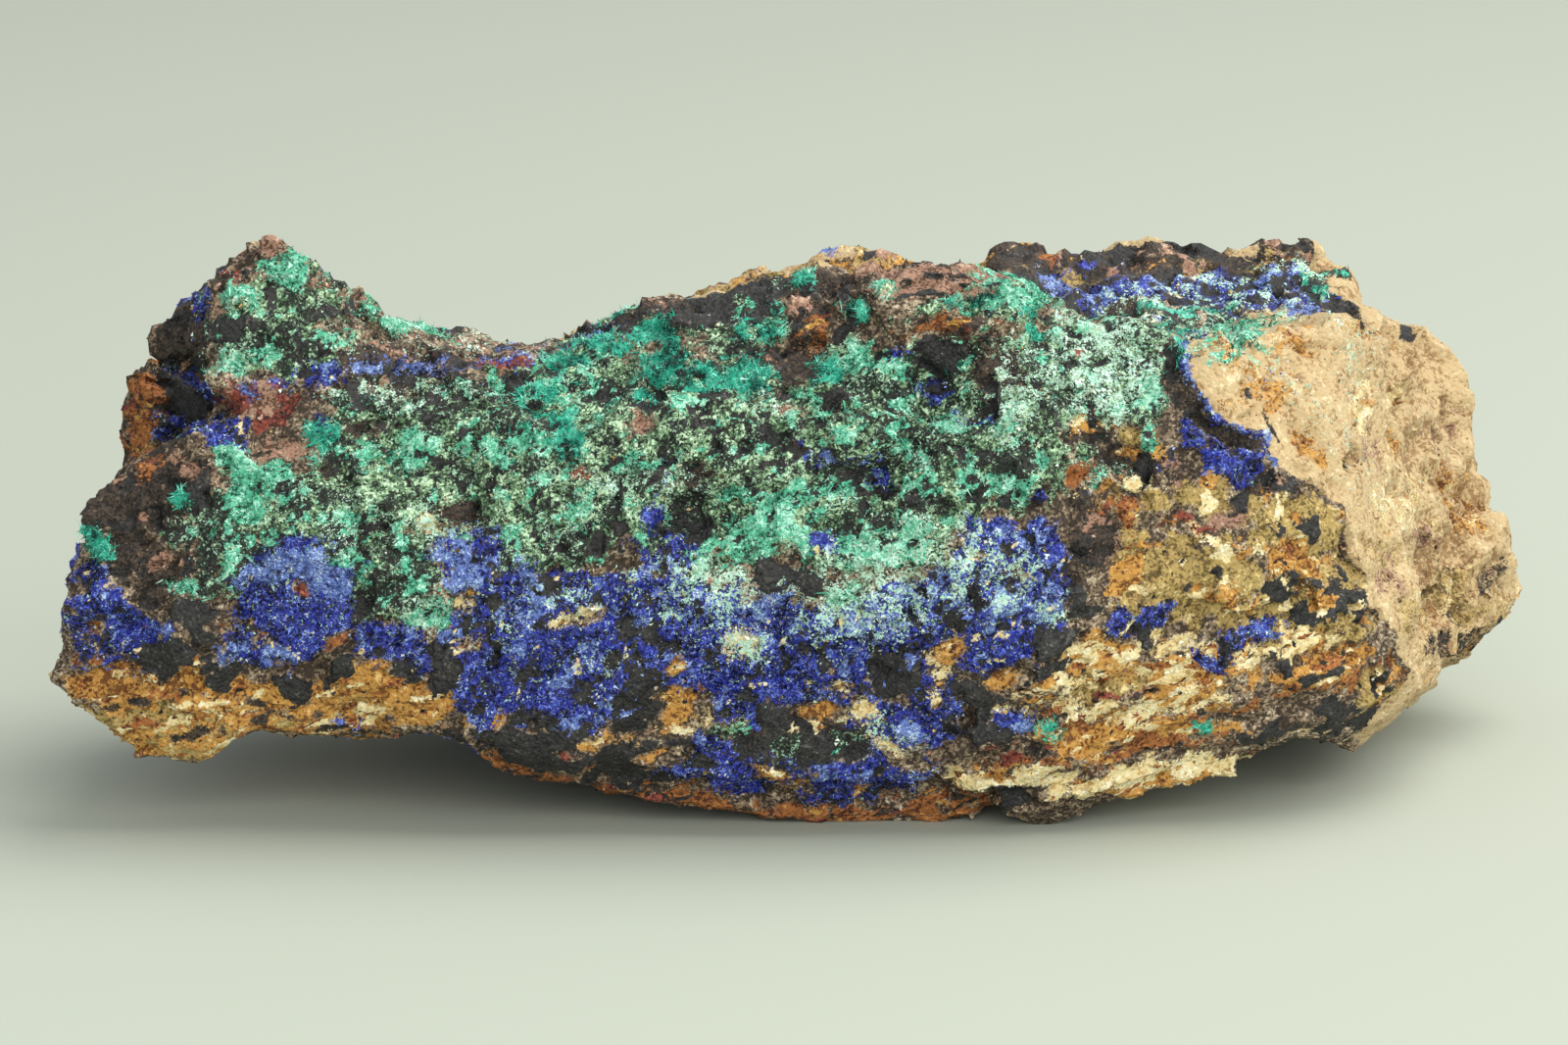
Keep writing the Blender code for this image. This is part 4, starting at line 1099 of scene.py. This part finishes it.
def tinted(piece, places, points_near, names, rng):
    """Leaves a colour on each crystal: one of the named minerals', in a tone of its own."""
    ranks = np.array([shown[name][points_near] for name in names])
    ranks += rng.normal(size=ranks.shape) * 0.12
    owner = np.argmax(ranks, axis=0)
    tone = noise_field(places, CLUMP, 5) + rng.normal(size=len(places)) * 0.17
    order = np.argsort(np.argsort(tone)) / len(tone)
    dark, middle, light = (np.array([LAYERS[name][i] for name in names])[owner] for i in range(3))
    dark_share, light_share = (np.array([LAYERS[name][i] for name in names])[owner] for i in (4, 5))
    brighter = np.clip((order - dark_share * 0.7) * 6, 0, 1)[:, None]
    brightest = np.clip((order - 1 + light_share * 0.8) * 6, 0, 1)[:, None]
    colours = dark + (middle - dark) * brighter
    colours += (light - colours) * brightest
    colours *= rng.uniform(0.8, 1.2, (len(places), 1))
    colours = np.concatenate([colours.clip(0, 1), np.ones((len(places), 1))], axis=1)
    layer = piece.data.color_attributes.new("tint", "FLOAT_COLOR", "POINT")
    copies = len(piece.data.vertices) // len(places)
    layer.data.foreach_set("color", np.repeat(colours, copies, axis=0).astype(np.float32).ravel())


def crystal_material(name, roughness):
    """A crystal has its own tint, a little uneven along its length."""
    material, tree, shader = new_material(name)
    tint = put(tree, "ShaderNodeAttribute", attribute_name="tint").outputs["Color"]
    uneven = soft_noise(tree, millimetres(tree), 2.2)
    darker = put(tree, "ShaderNodeMix", {0: 1.0, 6: tint, 7: (0.55, 0.55, 0.6, 1)}, data_type="RGBA", blend_type="MULTIPLY")
    colour = blend(tree, ramp(tree, uneven, 0.35, 0.6), darker.outputs[2], tint)
    tree.links.new(colour, shader.inputs["Base Color"])
    shader.inputs["Roughness"].default_value = roughness
    return material


# %% Azurite shards
rng = np.random.default_rng(11)
places, outward, near = spread(shown["azurite"] + shown["powder"] * 0.7, 44000, rng)
sizes = rng.gamma(6.0, 0.05, len(places)).clip(0.15, 0.6)
azurite_shards = grow("azurite_shards", shard, places, outward, sizes, 1.0, rng)
tinted(azurite_shards, places, near, ("azurite", "powder"), rng)
azurite_shards.data.materials.append(crystal_material("azurite_crystal", 0.3))

# %% Malachite grains
rng = np.random.default_rng(12)
green = shown["mint"] + shown["sage"] * 0.8 + shown["speckled"] * 0.7
places, outward, near = spread(green, 44000, rng)
sizes = rng.gamma(6.0, 0.05, len(places)).clip(0.15, 0.55)
malachite_grains = grow("malachite_grains", grain, places, outward, sizes, 0.8, rng)
tinted(malachite_grains, places, near, ("sage", "speckled", "mint"), rng)
malachite_grains.data.materials.append(crystal_material("malachite_crystal", 0.6))

# %% Silky malachite needles
rng = np.random.default_rng(13)
places, outward, near = spread(shown["teal"] + shown["mint"] * 0.15, 22000, rng)
sizes = rng.gamma(5.0, 0.14, len(places)).clip(0.3, 1.2)
malachite_needles = grow("malachite_needles", needle, places, outward, sizes, 5.0, rng)
tinted(malachite_needles, places, near, ("teal", "mint"), rng)
malachite_needles.data.materials.append(crystal_material("silky_malachite", 0.4))

# %% Pale flecks over both crusts
rng = np.random.default_rng(14)
pale = minerals["frost"] * 3 * (1 - shown["goethite"]) + shown["azurite"] * 0.55
pale += shown["sage"] * 0.06 + shown["mint"] * 0.12
places, outward, near = spread(pale, 60000, rng)
clumped = noise_field(places, 0.9, 8)
kept = clumped > np.quantile(clumped, 0.6)
places, outward, near = places[kept], outward[kept], near[kept]
sizes = rng.gamma(5.0, 0.048, len(places)).clip(0.12, 0.45)
pale_flecks = grow("pale_flecks", grain, places, outward, sizes, 1.0, rng)
tinted(pale_flecks, places, near, ("frost",), rng)
pale_flecks.data.materials.append(crystal_material("pale_crystal", 0.5))

# %% Rock crumbs
rng = np.random.default_rng(15)
ROCKY = ("limonite", "olive", "clay", "brown", "pink", "rust", "hematite", "goethite", "tan")
gritty = sum(shown[name] for name in ROCKY) - 0.85 * shown["tan"] - 0.6 * shown["goethite"] + 0.02
places, outward, near = spread(gritty, 14000, rng)
sizes = rng.gamma(4.0, 0.08, len(places)).clip(0.15, 0.7)
rock_crumbs = grow("rock_crumbs", crumb, places, outward, sizes, 0.6, rng)
tinted(rock_crumbs, places, near, ROCKY, rng)
rock_crumbs.data.materials.append(crystal_material("crumb_rock", 0.85))

# %% [markdown]
# ## Floor and light
# The stone lies on a pale grey-green table. One wide soft light stands in front of it to the
# right, like a window, so the table grows darker towards the back and the left. The sky of the
# scene fills the shadows.

# %% Floor
FLOOR_SIZE = 8.0
bpy.ops.object.select_all(action="DESELECT")
bpy.ops.mesh.primitive_plane_add(size=FLOOR_SIZE, location=(0, 0, 0))
floor = bpy.context.object
floor.name = "table"
paint, tree, shader = new_material("table_paint")
shader.inputs["Base Color"].default_value = (0.40, 0.43, 0.36, 1)
shader.inputs["Roughness"].default_value = 0.9
floor.data.materials.append(paint)


# %% Lights
def soft_light(name, place, size, power, tint):
    """A wide soft light that stands at a place and faces the stone."""
    lamp = bpy.data.lights.new(name, "AREA")
    lamp.shape = "RECTANGLE"
    lamp.size, lamp.size_y = size
    lamp.energy = power
    lamp.color = tint
    holder = bpy.data.objects.new(name, lamp)
    holder.location = place
    holder.rotation_mode = "QUATERNION"
    holder.rotation_quaternion = (-Vector(place)).to_track_quat("-Z", "Y")
    bpy.context.scene.collection.objects.link(holder)


soft_light("overhead", (0.6, 0.12, 1.0), (1.2, 1.2), 17.5, (1.0, 0.985, 0.94))
soft_light("front", (0.25, -0.95, 0.42), (1.2, 0.6), 10.0, (1.0, 0.99, 0.96))
sky = bpy.data.worlds.new("sky")
sky.use_nodes = True
sky.node_tree.nodes["Background"].inputs["Color"].default_value = (0.93, 0.97, 1.0, 1)
sky.node_tree.nodes["Background"].inputs["Strength"].default_value = 0.62
bpy.context.scene.world = sky
